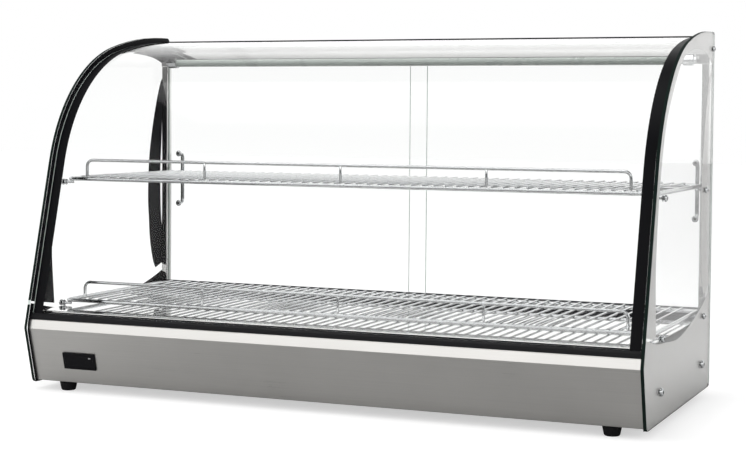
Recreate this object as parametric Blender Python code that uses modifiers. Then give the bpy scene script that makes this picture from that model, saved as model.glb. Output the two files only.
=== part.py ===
"""Heated counter display case: bent front glass, two wire shelves, sliding rear doors.

Metres, +Z up. X runs across the case, -Y is the customer's side and z = 0 is the worktop.
Depths in the named values are measured from the front-most point of the side glasses,
towards the rear, and heights from the worktop. depth_to_y() turns a depth into a world y.
"""

import math

import bmesh
import bpy
from mathutils import Matrix, Vector

# Running gap between pieces that touch, and how far a cutter overruns its cut
GAP = 0.0003
OVERRUN = 0.002

# Points of a mesh that are closer than this are one point
MERGE_DISTANCE = 0.00001

# Side glasses: the outline of the whole case
CASE_WIDTH = 1.200
SIDE_GLASS = 0.006
SIDE_DEPTH = 0.542
SIDE_OVERHANG = 0.0035
KINK_HEIGHT = 0.122
KINK_RADIUS = 0.013
FRONT_LEAN = math.radians(14.9)
SKIRT_LEAN = math.radians(14.5)
FRONT_STRAIGHT = 0.330
SHOULDER_RADIUS = 0.320
SHOULDER_END = math.radians(74.8)
ROOF_LEVEL = 0.021
TOP_CORNER_RADIUS = 0.010
BOTTOM_CORNER_RADIUS = 0.010

# Sheet metal base between the side glasses
SHEET = 0.0012
BEND = 0.0010
BASE_BOTTOM = 0.018
SKIRT_RUN = 0.0274
BROW_DEPTH = 0.0061
BROW_DROP = 0.002
STRIP_RUN = 0.0045
STRIP_HEIGHT = 0.018
TOP_FLANGE = 0.040
FOOT_FLANGE = 0.044
REAR_RECESS = 0.020
REAR_FOOT_FLANGE = 0.075
REAR_TOP_FLANGE = 0.018

# Polished deck over the heating elements
DECK_FRONT_SETBACK = 0.0254
DECK_RISE = 0.0145
DECK_SIDE_GAP = 0.004

# Bent front glass and its rubber channel
FRONT_GLASS = 0.0055
FRONT_INSET = 0.011
GLASS_SEAT = 0.0030
FRONT_GLASS_END_SETBACK = 0.015
FRONT_GLASS_SIDE_GAP = 0.0006
GASKET_FACE = 0.0075
GASKET_TOP = 0.0108
GASKET_LIP = 0.0030

# Sliding doors, their tracks and the rail that carries the upper one
DOOR_GLASS = 0.004
DOOR_REAR_SETBACK = 0.0040
DOOR_SPACING = 0.0208
DOOR_OVERLAP = 0.045
DOOR_EDGE_GAP = 0.0015
DOOR_CORNER = 0.003
TRACK_WALL = 0.0013
TRACK_PLATE = 0.0015
TRACK_CLEARANCE = 0.0005
LOWER_TRACK_HEIGHT = 0.010
UPPER_TRACK_HEIGHT = 0.0185
DOOR_LIFT = 0.0075
RAIL_CLEARANCE = 0.0007
RAIL_HEIGHT = 0.0447
RAIL_HEM = 0.0035
RAIL_FOLD = 0.0185
RAIL_LEAN = 0.0015
RAIL_REAR_LIP = 0.024
RAIL_END_PLATE = 0.0015

# Rear posts, folded round the ends of the doors
POST_FACE = 0.015
POST_DEPTH = 0.020
POST_SLOT = 0.0015

# Bow handles, through the door glass
HANDLE_REACH = 0.015
HANDLE_WIDTH = 0.008
HANDLE_THICKNESS = 0.004
HANDLE_SPACING = 0.108
HANDLE_LEVEL_SHARE = 0.46
INNER_HANDLE_INSET = 0.024
OUTER_HANDLE_INSET = 0.012
HANDLE_CORNER = 0.006
HANDLE_SHANK = 0.005
HANDLE_HEAD = 0.013
HANDLE_HEAD_HEIGHT = 0.0025
HANDLE_HOLE_CLEARANCE = 0.0004

# Wire shelves, their guard rails and the studs in the side glasses
FRAME_ROD = 0.008
SHELF_WIRE = 0.0036
STRINGER_ROD = 0.006
WELD_SINK = 0.0008
SHELF_SIDE_GAP = 0.011
WIRE_PITCH = 0.0217
WIRE_END_ROOM = 0.020
FRAME_CORNER = 0.006
GUARD_ROD = 0.006
GUARD_POST = 0.005
GUARD_HEIGHT = 0.037
GUARD_CORNER = 0.012
GUARD_POST_SHARE = 0.52
STRINGER_SHARE = 0.45
STUD_HEAD = 0.012
STUD_HEAD_HEIGHT = 0.0046
STUD_SHANK = 0.006
STUD_WASHER = 0.0115
STUD_WASHER_THICKNESS = 0.0015
STUD_PIN = 0.005
STUD_REACH = 0.018

# Where the studs are, and how far the shelf's front and rear rods lie beyond them
UPPER_STUD_HEIGHT = 0.396
UPPER_STUD_BEHIND_GLASS = 0.0350
UPPER_STUD_REAR_SETBACK = 0.0643
LOWER_STUD_RISE = 0.0049
LOWER_STUD_FRONT = 0.1265
LOWER_STUD_REAR_SETBACK = 0.0678
ROD_BEFORE_STUD = 0.0035
ROD_BEHIND_STUD = 0.0105

# Screws that hold the side glasses to the base and to the top rail
BASE_SCREW_HEIGHT = 0.0673
BASE_SCREW_FRONT = 0.1204
BASE_SCREW_REAR_SETBACK = 0.0801
BASE_SCREW_HEAD = 0.015
BASE_SCREW_HEAD_HEIGHT = 0.0055
TOP_SCREW_SETBACK = 0.0111
TOP_SCREW_DROP = 0.0151
TOP_SCREW_HEAD = 0.011
TOP_SCREW_HEAD_HEIGHT = 0.0035
SCREW_SHANK = 0.006
SCREW_TAIL = 0.004
HOLE_CLEARANCE = 0.0004

# Lamp under the roof
LAMP_TUBE = 0.016
LAMP_RISE = 0.008
HOLDER_DIAMETER = 0.023
HOLDER_LENGTH = 0.025
HOLDER_SIDE_GAP = 0.022
HOLDER_SOCKET = 0.009
HOLDER_NECK = 0.014
HOLDER_NECK_LENGTH = 0.006

# Temperature display let into the front skirt
DISPLAY_WIDTH = 0.070
DISPLAY_HEIGHT = 0.033
DISPLAY_PROUD = 0.0035
DISPLAY_SIDE_INSET = 0.1037
DISPLAY_UP = 0.0455
DISPLAY_RIM = 0.0035
DISPLAY_BODY_INSET = 0.002
DISPLAY_BODY_DEPTH = 0.030
DISPLAY_RECESS = 0.0018
DISPLAY_FILLET = 0.0012

# Controls on the rear panel
CONTROL_HEIGHT = 0.078
SWITCH_PITCH = 0.046
SWITCH_BEFORE_KNOB = 0.064
SWITCH_WIDTH = 0.024
SWITCH_OPENING_HEIGHT = 0.026
SWITCH_RIM = 0.003
SWITCH_RIM_PROUD = 0.002
SWITCH_WALL = 0.0015
SWITCH_BODY_DEPTH = 0.022
ROCKER_SPREAD = math.radians(62)
ROCKER_SINK = 0.003
ROCKER_DISH = 0.0018
ROCKER_TILT = math.radians(9.0)
ROCKER_CLEARANCE = 0.0005
KNOB_BEFORE_GLAND = 0.090
KNOB_DIAMETER = 0.038
KNOB_HEIGHT = 0.013
KNOB_GRIP_WIDTH = 0.009
KNOB_GRIP_DEPTH = 0.004
KNOB_SHAFT = 0.006
THERMOSTAT_WIDTH = 0.046
THERMOSTAT_DEPTH = 0.032
THERMOSTAT_HEIGHT = 0.040
THERMOSTAT_FILLET = 0.002
INDICATOR_BEFORE_SWITCH = 0.060
INDICATOR_DIAMETER = 0.011
INDICATOR_THREAD = 0.009
INDICATOR_PROUD = 0.004
INDICATOR_TAIL = 0.014
GLAND_SIDE_INSET = 0.064
GLAND_DIAMETER = 0.022
GLAND_THREAD = 0.016
GLAND_LIP = 0.002
GLAND_PROUD = 0.014
GLAND_TAIL = 0.012
GLAND_BORE = 0.008

# Heating elements and temperature probe under the deck
HEATER_ROD = 0.008
HEATER_INNER_X = 0.060
HEATER_SIDE_INSET = 0.074
HEATER_FRONT = 0.150
HEATER_REAR_SETBACK = 0.142
HEATER_BEND = 0.030
PROBE_ROD = 0.006
PROBE_LENGTH = 0.070
PROBE_LEVEL_SHARE = 0.5

# Feet
FOOT_DIAMETER = 0.034
FOOT_SIDE_INSET = 0.059
FOOT_BEHIND_SKIRT = 0.0195
FOOT_REAR_SETBACK = 0.069
FOOT_TAPER = 0.003
FOOT_RIM = 0.002

# Facets on round work
SHOULDER_STEPS = 22
ROOF_STEPS = 6
CORNER_STEPS = 4
HOLE_SIDES = 12
TURNED_SIDES = 16
STUD_SIDES = 12
KNOB_SIDES = 24
ROD_SIDES = 8
WIRE_SIDES = 6
POST_SIDES = 8

# Shares of a head's radius and height, from its flat top to its rim
HEAD_TOP_SHARE = 0.34
HEAD_BEVEL_SHARE = 0.46
HEAD_SHOULDER_SHARE = 0.7
HEAD_RIM_SHARE = 0.3
KNOB_TOP_SHARE = 0.40
KNOB_EDGE_SHARE = 0.43
KNOB_EDGE_HEIGHT_SHARE = 0.9
KNOB_SKIRT_SHARE = 0.15

# Sizes that follow from those above
INNER_X = CASE_WIDTH / 2 - SIDE_GLASS
PANEL_X = INNER_X - GAP
SIDE_BOTTOM = BASE_BOTTOM - SIDE_OVERHANG
BROW_HEIGHT = KINK_HEIGHT - BROW_DROP
SKIRT_FOOT_DEPTH = BROW_DEPTH + SKIRT_RUN
STRIP_TOP = BROW_HEIGHT + STRIP_HEIGHT
STRIP_TOP_DEPTH = BROW_DEPTH + STRIP_RUN
REAR_PANEL_DEPTH = SIDE_DEPTH - REAR_RECESS
DECK_FRONT = STRIP_TOP_DEPTH + DECK_FRONT_SETBACK
DECK_TOP = STRIP_TOP + DECK_RISE
CASE_DEPTH = SIDE_DEPTH - DOOR_REAR_SETBACK + HANDLE_REACH
OUTER_DOOR = SIDE_DEPTH - DOOR_REAR_SETBACK - DOOR_GLASS
INNER_DOOR = OUTER_DOOR - DOOR_SPACING
RAIL_FRONT = INNER_DOOR - TRACK_CLEARANCE - TRACK_WALL - RAIL_CLEARANCE - SHEET - RAIL_LEAN
UPPER_STUD_REAR = SIDE_DEPTH - UPPER_STUD_REAR_SETBACK
LOWER_STUD_HEIGHT = DECK_TOP + LOWER_STUD_RISE
LOWER_STUD_REAR = SIDE_DEPTH - LOWER_STUD_REAR_SETBACK
BASE_SCREW_REAR = SIDE_DEPTH - BASE_SCREW_REAR_SETBACK
TOP_SCREW_DEPTH = SIDE_DEPTH - TOP_SCREW_SETBACK
SHELF_X = INNER_X - SHELF_SIDE_GAP
WIRES_EACH_SIDE = round((SHELF_X - WIRE_END_ROOM) / WIRE_PITCH)
GLAND_X = INNER_X - GLAND_SIDE_INSET
KNOB_X = GLAND_X - KNOB_BEFORE_GLAND
LIGHT_SWITCH_X = KNOB_X - SWITCH_BEFORE_KNOB
POWER_SWITCH_X = LIGHT_SWITCH_X - SWITCH_PITCH
INDICATOR_X = POWER_SWITCH_X - INDICATOR_BEFORE_SWITCH
DISPLAY_X = DISPLAY_SIDE_INSET - PANEL_X
SKIRT_DIRECTION = Vector((BROW_DEPTH - SKIRT_FOOT_DEPTH, BROW_HEIGHT - BASE_BOTTOM)).normalized()


def depth_to_y(depth):
    """World y of a depth measured from the front-most point of the side glasses."""
    return depth - CASE_DEPTH / 2


def clear_scene():
    """Remove what the scene holds, so that the case is built alone."""
    for item in list(bpy.data.objects):
        bpy.data.objects.remove(item, do_unlink=True)


def new_collection(name):
    """A collection linked to the scene."""
    group = bpy.data.collections.new(name)
    bpy.context.scene.collection.children.link(group)
    return group


clear_scene()
CASE = new_collection("heated_display_case")
CUTTERS = new_collection("cutters")


def material(name, colour, roughness, metallic=0.0, transmission=0.0):
    """A Principled material with one colour and finish."""
    made = bpy.data.materials.new(name)
    made.use_nodes = True
    shader = made.node_tree.nodes["Principled BSDF"]
    shader.inputs["Base Color"].default_value = (*colour, 1.0)
    shader.inputs["Roughness"].default_value = roughness
    shader.inputs["Metallic"].default_value = metallic
    shader.inputs["Transmission Weight"].default_value = transmission
    return made


BRUSHED = material("brushed_stainless", (0.56, 0.55, 0.53), 0.30, 1.0)
POLISHED = material("polished_stainless", (0.72, 0.73, 0.73), 0.06, 1.0)
CHROME = material("chrome", (0.55, 0.56, 0.57), 0.08, 1.0)
ALUMINIUM = material("anodised_aluminium", (0.75, 0.76, 0.77), 0.28, 1.0)
GLASS = material("clear_glass", (0.90, 0.96, 0.94), 0.02, 0.0, 1.0)
RUBBER = material("black_rubber", (0.015, 0.015, 0.016), 0.55)
BLACK_PLASTIC = material("black_plastic", (0.020, 0.021, 0.023), 0.35)
DARK_LENS = material("dark_lens", (0.008, 0.008, 0.010), 0.10)
RED_LENS = material("red_lens", (0.55, 0.02, 0.015), 0.20)
DIFFUSER = material("white_diffuser", (0.92, 0.93, 0.92), 0.40)


def put(item, group, name):
    """Name an object, and keep it in one collection only."""
    for owner in list(item.users_collection):
        owner.objects.unlink(item)
    group.objects.link(item)
    item.name = name
    if item.data is not None:
        item.data.name = name
    return item


def paint(item, look):
    """Give an object its one material."""
    item.data.materials.clear()
    item.data.materials.append(look)
    return item


def smooth(item, angle=math.radians(35)):
    """Shade round faces smooth and keep the edges that are sharper than the angle."""
    item.data.shade_smooth()
    item.data.set_sharp_from_angle(angle=angle)
    return item


def solid(item):
    """Turn a curve object into a welded mesh object in the same place."""
    bpy.context.view_layer.update()
    graph = bpy.context.evaluated_depsgraph_get()
    mesh = bpy.data.meshes.new_from_object(item.evaluated_get(graph))
    shell = bmesh.new()
    shell.from_mesh(mesh)
    bmesh.ops.remove_doubles(shell, verts=shell.verts, dist=MERGE_DISTANCE)
    bmesh.ops.recalc_face_normals(shell, faces=shell.faces)
    shell.to_mesh(mesh)
    shell.free()
    made = bpy.data.objects.new(item.name, mesh)
    bpy.context.scene.collection.objects.link(made)
    made.matrix_world = item.matrix_world
    name = item.name
    bpy.data.objects.remove(item, do_unlink=True)
    made.name = name
    return made


def use(target, operation, tool):
    """Cut, join or keep the overlap of a target with a tool, which becomes a cutter."""
    put(tool, CUTTERS, target.name + "_" + operation.lower() + "_" + str(len(target.modifiers)))
    tool.hide_render = True
    tool.display_type = "WIRE"
    change = target.modifiers.new(operation.capitalize(), "BOOLEAN")
    change.operation = operation
    change.solver = "EXACT"
    change.object = tool
    return target


def fillet(item, width, segments=2):
    """Round the edges of an object with a Bevel modifier."""
    change = item.modifiers.new("Rounded edges", "BEVEL")
    change.width = width
    change.segments = segments
    change.limit_method = "ANGLE"
    change.use_clamp_overlap = True
    return item


def block(name, size, centre, look, rotation=(0, 0, 0)):
    """A box of a given size about its centre."""
    bpy.ops.mesh.primitive_cube_add(size=1, location=centre, rotation=rotation)
    item = put(bpy.context.object, CASE, name)
    item.data.transform(Matrix.Diagonal((*size, 1)))
    return paint(item, look)


def rounded(corners, closed=True, steps=CORNER_STEPS):
    """Points of an outline whose corners, given as (x, y, radius), are arcs."""
    points = []
    count = len(corners)
    for index, (x, y, radius) in enumerate(corners):
        at_end = index in (0, count - 1) and not closed
        here = Vector((x, y))
        if radius == 0 or at_end:
            points.append(here)
            continue
        back = (Vector(corners[index - 1][:2]) - here).normalized()
        ahead = (Vector(corners[(index + 1) % count][:2]) - here).normalized()
        half = back.angle(ahead) / 2
        centre = here + (back + ahead).normalized() * (radius / math.sin(half))
        start = here + back * (radius / math.tan(half)) - centre
        end = here + ahead * (radius / math.tan(half)) - centre
        turn = start.angle_signed(end)
        for step in range(steps + 1):
            spoke = start.copy()
            spoke.rotate(Matrix.Rotation(-turn * step / steps, 2))
            points.append(centre + spoke)
    return points


def ring(x, y, diameter, sides=HOLE_SIDES):
    """Points of a round hole."""
    turns = [2 * math.pi * side / sides for side in range(sides)]
    return [Vector((x + diameter / 2 * math.cos(t), y + diameter / 2 * math.sin(t))) for t in turns]


def sheet(path, thickness=SHEET, bend=BEND):
    """Closed outline of a folded sheet, from the path of one face.

    The metal lies on the right of the path, or on its left where the thickness is negative.
    """
    line = [Vector(point) for point in path]
    ways = [(b - a).normalized() for a, b in zip(line, line[1:])]
    sides = [Vector((way.y, -way.x)) for way in ways]
    inner = [line[0] + sides[0] * thickness]
    for index in range(1, len(line) - 1):
        before = sides[index - 1]
        after = sides[index]
        inner.append(line[index] + (before + after) * (thickness / (1 + before.dot(after))))
    inner.append(line[-1] + sides[-1] * thickness)
    outer_radii = []
    inner_radii = []
    for index in range(1, len(line) - 1):
        turns_to_metal = ways[index - 1].cross(ways[index]) * thickness < 0
        outer_radii.append(bend + abs(thickness) if turns_to_metal else bend)
        inner_radii.append(bend if turns_to_metal else bend + abs(thickness))
    outer_radii = [0, *outer_radii, 0]
    inner_radii = [0, *inner_radii, 0]
    outer = [(point.x, point.y, radius) for point, radius in zip(line, outer_radii)]
    inside = [(point.x, point.y, radius) for point, radius in zip(inner, inner_radii)]
    return rounded(outer, closed=False) + rounded(inside, closed=False)[::-1]


def flat(name, outline, thickness, look, holes=()):
    """A flat piece: a filled 2D outline with holes, extruded by its thickness along local Z."""
    curve = bpy.data.curves.new(name, "CURVE")
    curve.dimensions = "2D"
    curve.fill_mode = "BOTH"
    curve.extrude = thickness / 2
    for loop in (outline, *holes):
        spline = curve.splines.new("POLY")
        spline.points.add(len(loop) - 1)
        spline.use_cyclic_u = True
        for point, place in zip(spline.points, loop):
            point.co = (place[0], place[1], 0, 1)
    item = bpy.data.objects.new(name, curve)
    bpy.context.scene.collection.objects.link(item)
    return paint(put(solid(item), CASE, name), look)


def across(name, outline, low_x, high_x, look, holes=()):
    """A piece of constant (depth, height) section that runs along X from low_x to high_x."""
    item = flat(name, outline, high_x - low_x, look, holes)
    item.rotation_euler = (math.radians(90), 0, math.radians(90))
    item.location = ((low_x + high_x) / 2, depth_to_y(0), 0)
    return item


def upright(name, outline, low_z, high_z, look):
    """A piece of constant (x, depth) section that stands from low_z to high_z."""
    item = flat(name, outline, high_z - low_z, look)
    item.location = (0, depth_to_y(0), (low_z + high_z) / 2)
    return item


def turned(name, profile, place, axis, look, sides=TURNED_SIDES, bored=False):
    """A turned piece. Its (radius, distance) profile runs down from the tip of its axis."""
    mesh = bpy.data.meshes.new(name)
    points = [(radius, 0, distance) for radius, distance in profile]
    edges = [(i, i + 1) for i in range(len(points) - 1)]
    if bored:
        edges.append((len(points) - 1, 0))
    mesh.from_pydata(points, edges, [])
    item = bpy.data.objects.new(name, mesh)
    put(item, CASE, name)
    item.location = place
    item.rotation_euler = Vector((0, 0, 1)).rotation_difference(Vector(axis)).to_euler()
    spin = item.modifiers.new("Turned", "SCREW")
    spin.axis = "Z"
    spin.steps = sides
    spin.render_steps = sides
    spin.use_merge_vertices = True
    spin.merge_threshold = MERGE_DISTANCE
    spin.use_smooth_shade = False
    return paint(item, look)


def rod(name, points, diameter, look, closed=False, sides=ROD_SIDES):
    """A round rod along a line of points, with filled ends."""
    curve = bpy.data.curves.new(name, "CURVE")
    curve.dimensions = "3D"
    curve.bevel_depth = diameter / 2
    curve.bevel_resolution = sides // 2 - 2
    curve.use_fill_caps = not closed
    spline = curve.splines.new("POLY")
    spline.points.add(len(points) - 1)
    spline.use_cyclic_u = closed
    for point, place in zip(spline.points, points):
        point.co = (*place, 1)
    item = bpy.data.objects.new(name, curve)
    bpy.context.scene.collection.objects.link(item)
    return smooth(paint(put(solid(item), CASE, name), look))


def kink_tip():
    """Depth of the kink's sharp corner, whose rounded tip then lies at depth zero."""
    half_sum = (FRONT_LEAN + SKIRT_LEAN) / 2
    half_difference = (FRONT_LEAN - SKIRT_LEAN) / 2
    return -KINK_RADIUS * (math.cos(half_difference) / math.cos(half_sum) - 1)


def side_outline():
    """Outline of a side glass as (depth, height) points, from its bottom front corner up."""
    tip = kink_tip()
    foot = tip + (KINK_HEIGHT - SIDE_BOTTOM) * math.tan(SKIRT_LEAN)
    corners = [(foot, SIDE_BOTTOM, BOTTOM_CORNER_RADIUS), (tip, KINK_HEIGHT, KINK_RADIUS)]
    roof = roof_line(0)
    corners += [(point.x, point.y, 0) for point in roof]
    corners.append((SIDE_DEPTH, roof[-1].y, TOP_CORNER_RADIUS))
    corners.append((SIDE_DEPTH, SIDE_BOTTOM, BOTTOM_CORNER_RADIUS))
    return rounded(corners)


def roof_line(inset, start=None):
    """The bent line of the front and roof, set in from the side outline by an inset.

    The heading h is measured from the vertical. Along an arc of radius R it moves the
    point by R (cos h0 - cos h) in depth and R (sin h - sin h0) in height. The roof's
    radius is the one that brings it level a little before the rear edge.
    """
    tip = kink_tip()
    along = Vector((math.sin(FRONT_LEAN), math.cos(FRONT_LEAN)))
    point = Vector((tip, KINK_HEIGHT)) + along * FRONT_STRAIGHT
    points = []
    if start is not None:
        points.append(Vector((tip, KINK_HEIGHT)) + along * start + inward(FRONT_LEAN) * inset)
    points.append(point + inward(FRONT_LEAN) * inset)
    shoulder_run = SHOULDER_RADIUS * (math.cos(FRONT_LEAN) - math.cos(SHOULDER_END))
    roof_radius = (SIDE_DEPTH - ROOF_LEVEL - point.x - shoulder_run) / math.cos(SHOULDER_END)
    bends = (
        (FRONT_LEAN, SHOULDER_END, SHOULDER_RADIUS, SHOULDER_STEPS),
        (SHOULDER_END, math.pi / 2, roof_radius, ROOF_STEPS),
    )
    for low, high, radius, steps in bends:
        for step in range(1, steps + 1):
            heading = low + (high - low) * step / steps
            run = Vector((math.cos(low) - math.cos(heading), math.sin(heading) - math.sin(low)))
            points.append(point + run * radius + inward(heading) * inset)
        run = Vector((math.cos(low) - math.cos(high), math.sin(high) - math.sin(low)))
        point = point + run * radius
    return points


def inward(heading):
    """Unit vector from the outline into the case, for a heading from the vertical."""
    return Vector((math.cos(heading), -math.sin(heading)))


def roof_height(inset):
    """Height of the level end of the roof line at an inset."""
    return roof_line(inset)[-1].y


def front_glass_foot():
    """Length up the leaning line, from the kink, to the square-cut foot of the front glass."""
    low_corner = STRIP_TOP + GAP + GLASS_SEAT
    drop = (FRONT_INSET + FRONT_GLASS) * math.sin(FRONT_LEAN)
    return (low_corner + drop - KINK_HEIGHT) / math.cos(FRONT_LEAN)


def build_side_glasses():
    """The two flat side glasses, with holes for their screws and shelf studs."""
    holes = []
    for depth in (BASE_SCREW_FRONT, BASE_SCREW_REAR):
        holes.append(ring(depth, BASE_SCREW_HEIGHT, SCREW_SHANK + HOLE_CLEARANCE * 2))
    top_screw_height = rail_top() - TOP_SCREW_DROP
    holes.append(ring(TOP_SCREW_DEPTH, top_screw_height, SCREW_SHANK + HOLE_CLEARANCE * 2))
    for depth, height in stud_places():
        holes.append(ring(depth, height, STUD_SHANK + HOLE_CLEARANCE * 2))
    outline = side_outline()
    across("left_side_glass", outline, -CASE_WIDTH / 2, -INNER_X, GLASS, holes)
    across("right_side_glass", outline, INNER_X, CASE_WIDTH / 2, GLASS, holes)


def glass_depth(height):
    """Depth of the front glass's inner face at a height."""
    line = roof_line(FRONT_INSET + FRONT_GLASS, front_glass_foot())
    for low, high in zip(line, line[1:]):
        if low.y <= height <= high.y:
            return low.lerp(high, (height - low.y) / (high.y - low.y)).x
    return line[-1].x


def upper_stud_front():
    """Depth of the upper shelf's front studs, which keep its guard rail clear of the glass."""
    return glass_depth(UPPER_STUD_HEIGHT + GUARD_HEIGHT) + UPPER_STUD_BEHIND_GLASS


def stud_places():
    """Depth and height of the four studs of each side glass."""
    return (
        (upper_stud_front(), UPPER_STUD_HEIGHT),
        (UPPER_STUD_REAR, UPPER_STUD_HEIGHT),
        (LOWER_STUD_FRONT, LOWER_STUD_HEIGHT),
        (LOWER_STUD_REAR, LOWER_STUD_HEIGHT),
    )


def build_front_glass():
    """The front glass: one sheet, flat at the front and bent over the roof, and its channel."""
    foot = front_glass_foot()
    outer = roof_line(FRONT_INSET, foot)
    inner = roof_line(FRONT_INSET + FRONT_GLASS, foot)
    end = SIDE_DEPTH - FRONT_GLASS_END_SETBACK
    outer.append(Vector((end, outer[-1].y)))
    inner.append(Vector((end, inner[-1].y)))
    half = INNER_X - FRONT_GLASS_SIDE_GAP
    smooth(across("front_glass", outer + inner[::-1], -half, half, GLASS), math.radians(20))

    into = inward(FRONT_LEAN)
    up = Vector((math.sin(FRONT_LEAN), math.cos(FRONT_LEAN)))
    seat_front = outer[0] - into * GAP - up * GAP
    seat_rear = inner[0] + into * GAP - up * GAP
    low = STRIP_TOP + GAP
    face = STRIP_TOP_DEPTH + GAP
    top = low + GASKET_TOP
    front_mouth = seat_front + up * ((top - seat_front.y) / up.y)
    rear_mouth = seat_rear + up * ((top - seat_rear.y) / up.y)
    outline = [
        Vector((face, low)),
        Vector((face + GASKET_FACE * math.tan(FRONT_LEAN), low + GASKET_FACE)),
        front_mouth,
        seat_front,
        seat_rear,
        rear_mouth,
        rear_mouth + Vector((GASKET_LIP, 0)),
        Vector((seat_rear.x + GASKET_LIP, low)),
    ]
    across("front_glass_gasket", outline, -PANEL_X, PANEL_X, RUBBER)


def skirt_point(up, out):
    """Depth and height of a point on the front skirt: up along it and out from its face."""
    base = Vector((SKIRT_FOOT_DEPTH, BASE_BOTTOM)) + SKIRT_DIRECTION * up
    return base + Vector((-SKIRT_DIRECTION.y, SKIRT_DIRECTION.x)) * out


def build_front_panel():
    """The folded front of the base, with the opening for the temperature display."""
    path = [
        (SKIRT_FOOT_DEPTH + FOOT_FLANGE, BASE_BOTTOM),
        (SKIRT_FOOT_DEPTH, BASE_BOTTOM),
        (BROW_DEPTH, BROW_HEIGHT),
        (STRIP_TOP_DEPTH, STRIP_TOP),
        (STRIP_TOP_DEPTH + TOP_FLANGE, STRIP_TOP),
    ]
    panel = across("base_front_panel", sheet(path), -PANEL_X, PANEL_X, BRUSHED)
    size = (
        DISPLAY_WIDTH - DISPLAY_BODY_INSET * 2 + GAP * 2,
        SHEET + OVERRUN * 2,
        DISPLAY_HEIGHT - DISPLAY_BODY_INSET * 2 + GAP * 2,
    )
    window = block("window", size, display_place(0), BRUSHED, (skirt_tilt(), 0, 0))
    use(panel, "DIFFERENCE", window)


def skirt_tilt():
    """Rotation about X that leans an upright piece onto the front skirt."""
    return math.atan2(-SKIRT_DIRECTION.x, SKIRT_DIRECTION.y)


def display_place(out):
    """World place of the display's centre, out from the skirt's face."""
    point = skirt_point(DISPLAY_UP, out)
    return (DISPLAY_X, depth_to_y(point.x), point.y)


def build_display():
    """The display: a bezel with its housing behind the skirt, and the dark lens set in it."""
    tilt = (skirt_tilt(), 0, 0)
    flange = (DISPLAY_WIDTH, DISPLAY_PROUD - GAP, DISPLAY_HEIGHT)
    middle = GAP + (DISPLAY_PROUD - GAP) / 2
    bezel = block("display_bezel", flange, display_place(middle), BLACK_PLASTIC, tilt)
    fillet(bezel, DISPLAY_FILLET)
    body = (
        DISPLAY_WIDTH - DISPLAY_BODY_INSET * 2,
        DISPLAY_BODY_DEPTH + middle,
        DISPLAY_HEIGHT - DISPLAY_BODY_INSET * 2,
    )
    housing_place = display_place(middle - body[1] / 2)
    use(bezel, "UNION", block("housing", body, housing_place, BLACK_PLASTIC, tilt))
    window = (DISPLAY_WIDTH - DISPLAY_RIM * 2, DISPLAY_RECESS, DISPLAY_HEIGHT - DISPLAY_RIM * 2)
    recess = (window[0], DISPLAY_RECESS + OVERRUN, window[2])
    recess_place = display_place(DISPLAY_PROUD - DISPLAY_RECESS + recess[1] / 2)
    use(bezel, "DIFFERENCE", block("recess", recess, recess_place, BLACK_PLASTIC, tilt))
    lens = (window[0] - GAP * 2, DISPLAY_RECESS - GAP * 2, window[2] - GAP * 2)
    lens_place = display_place(DISPLAY_PROUD - DISPLAY_RECESS + GAP + lens[1] / 2)
    block("display_lens", lens, lens_place, DARK_LENS, tilt)


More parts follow.
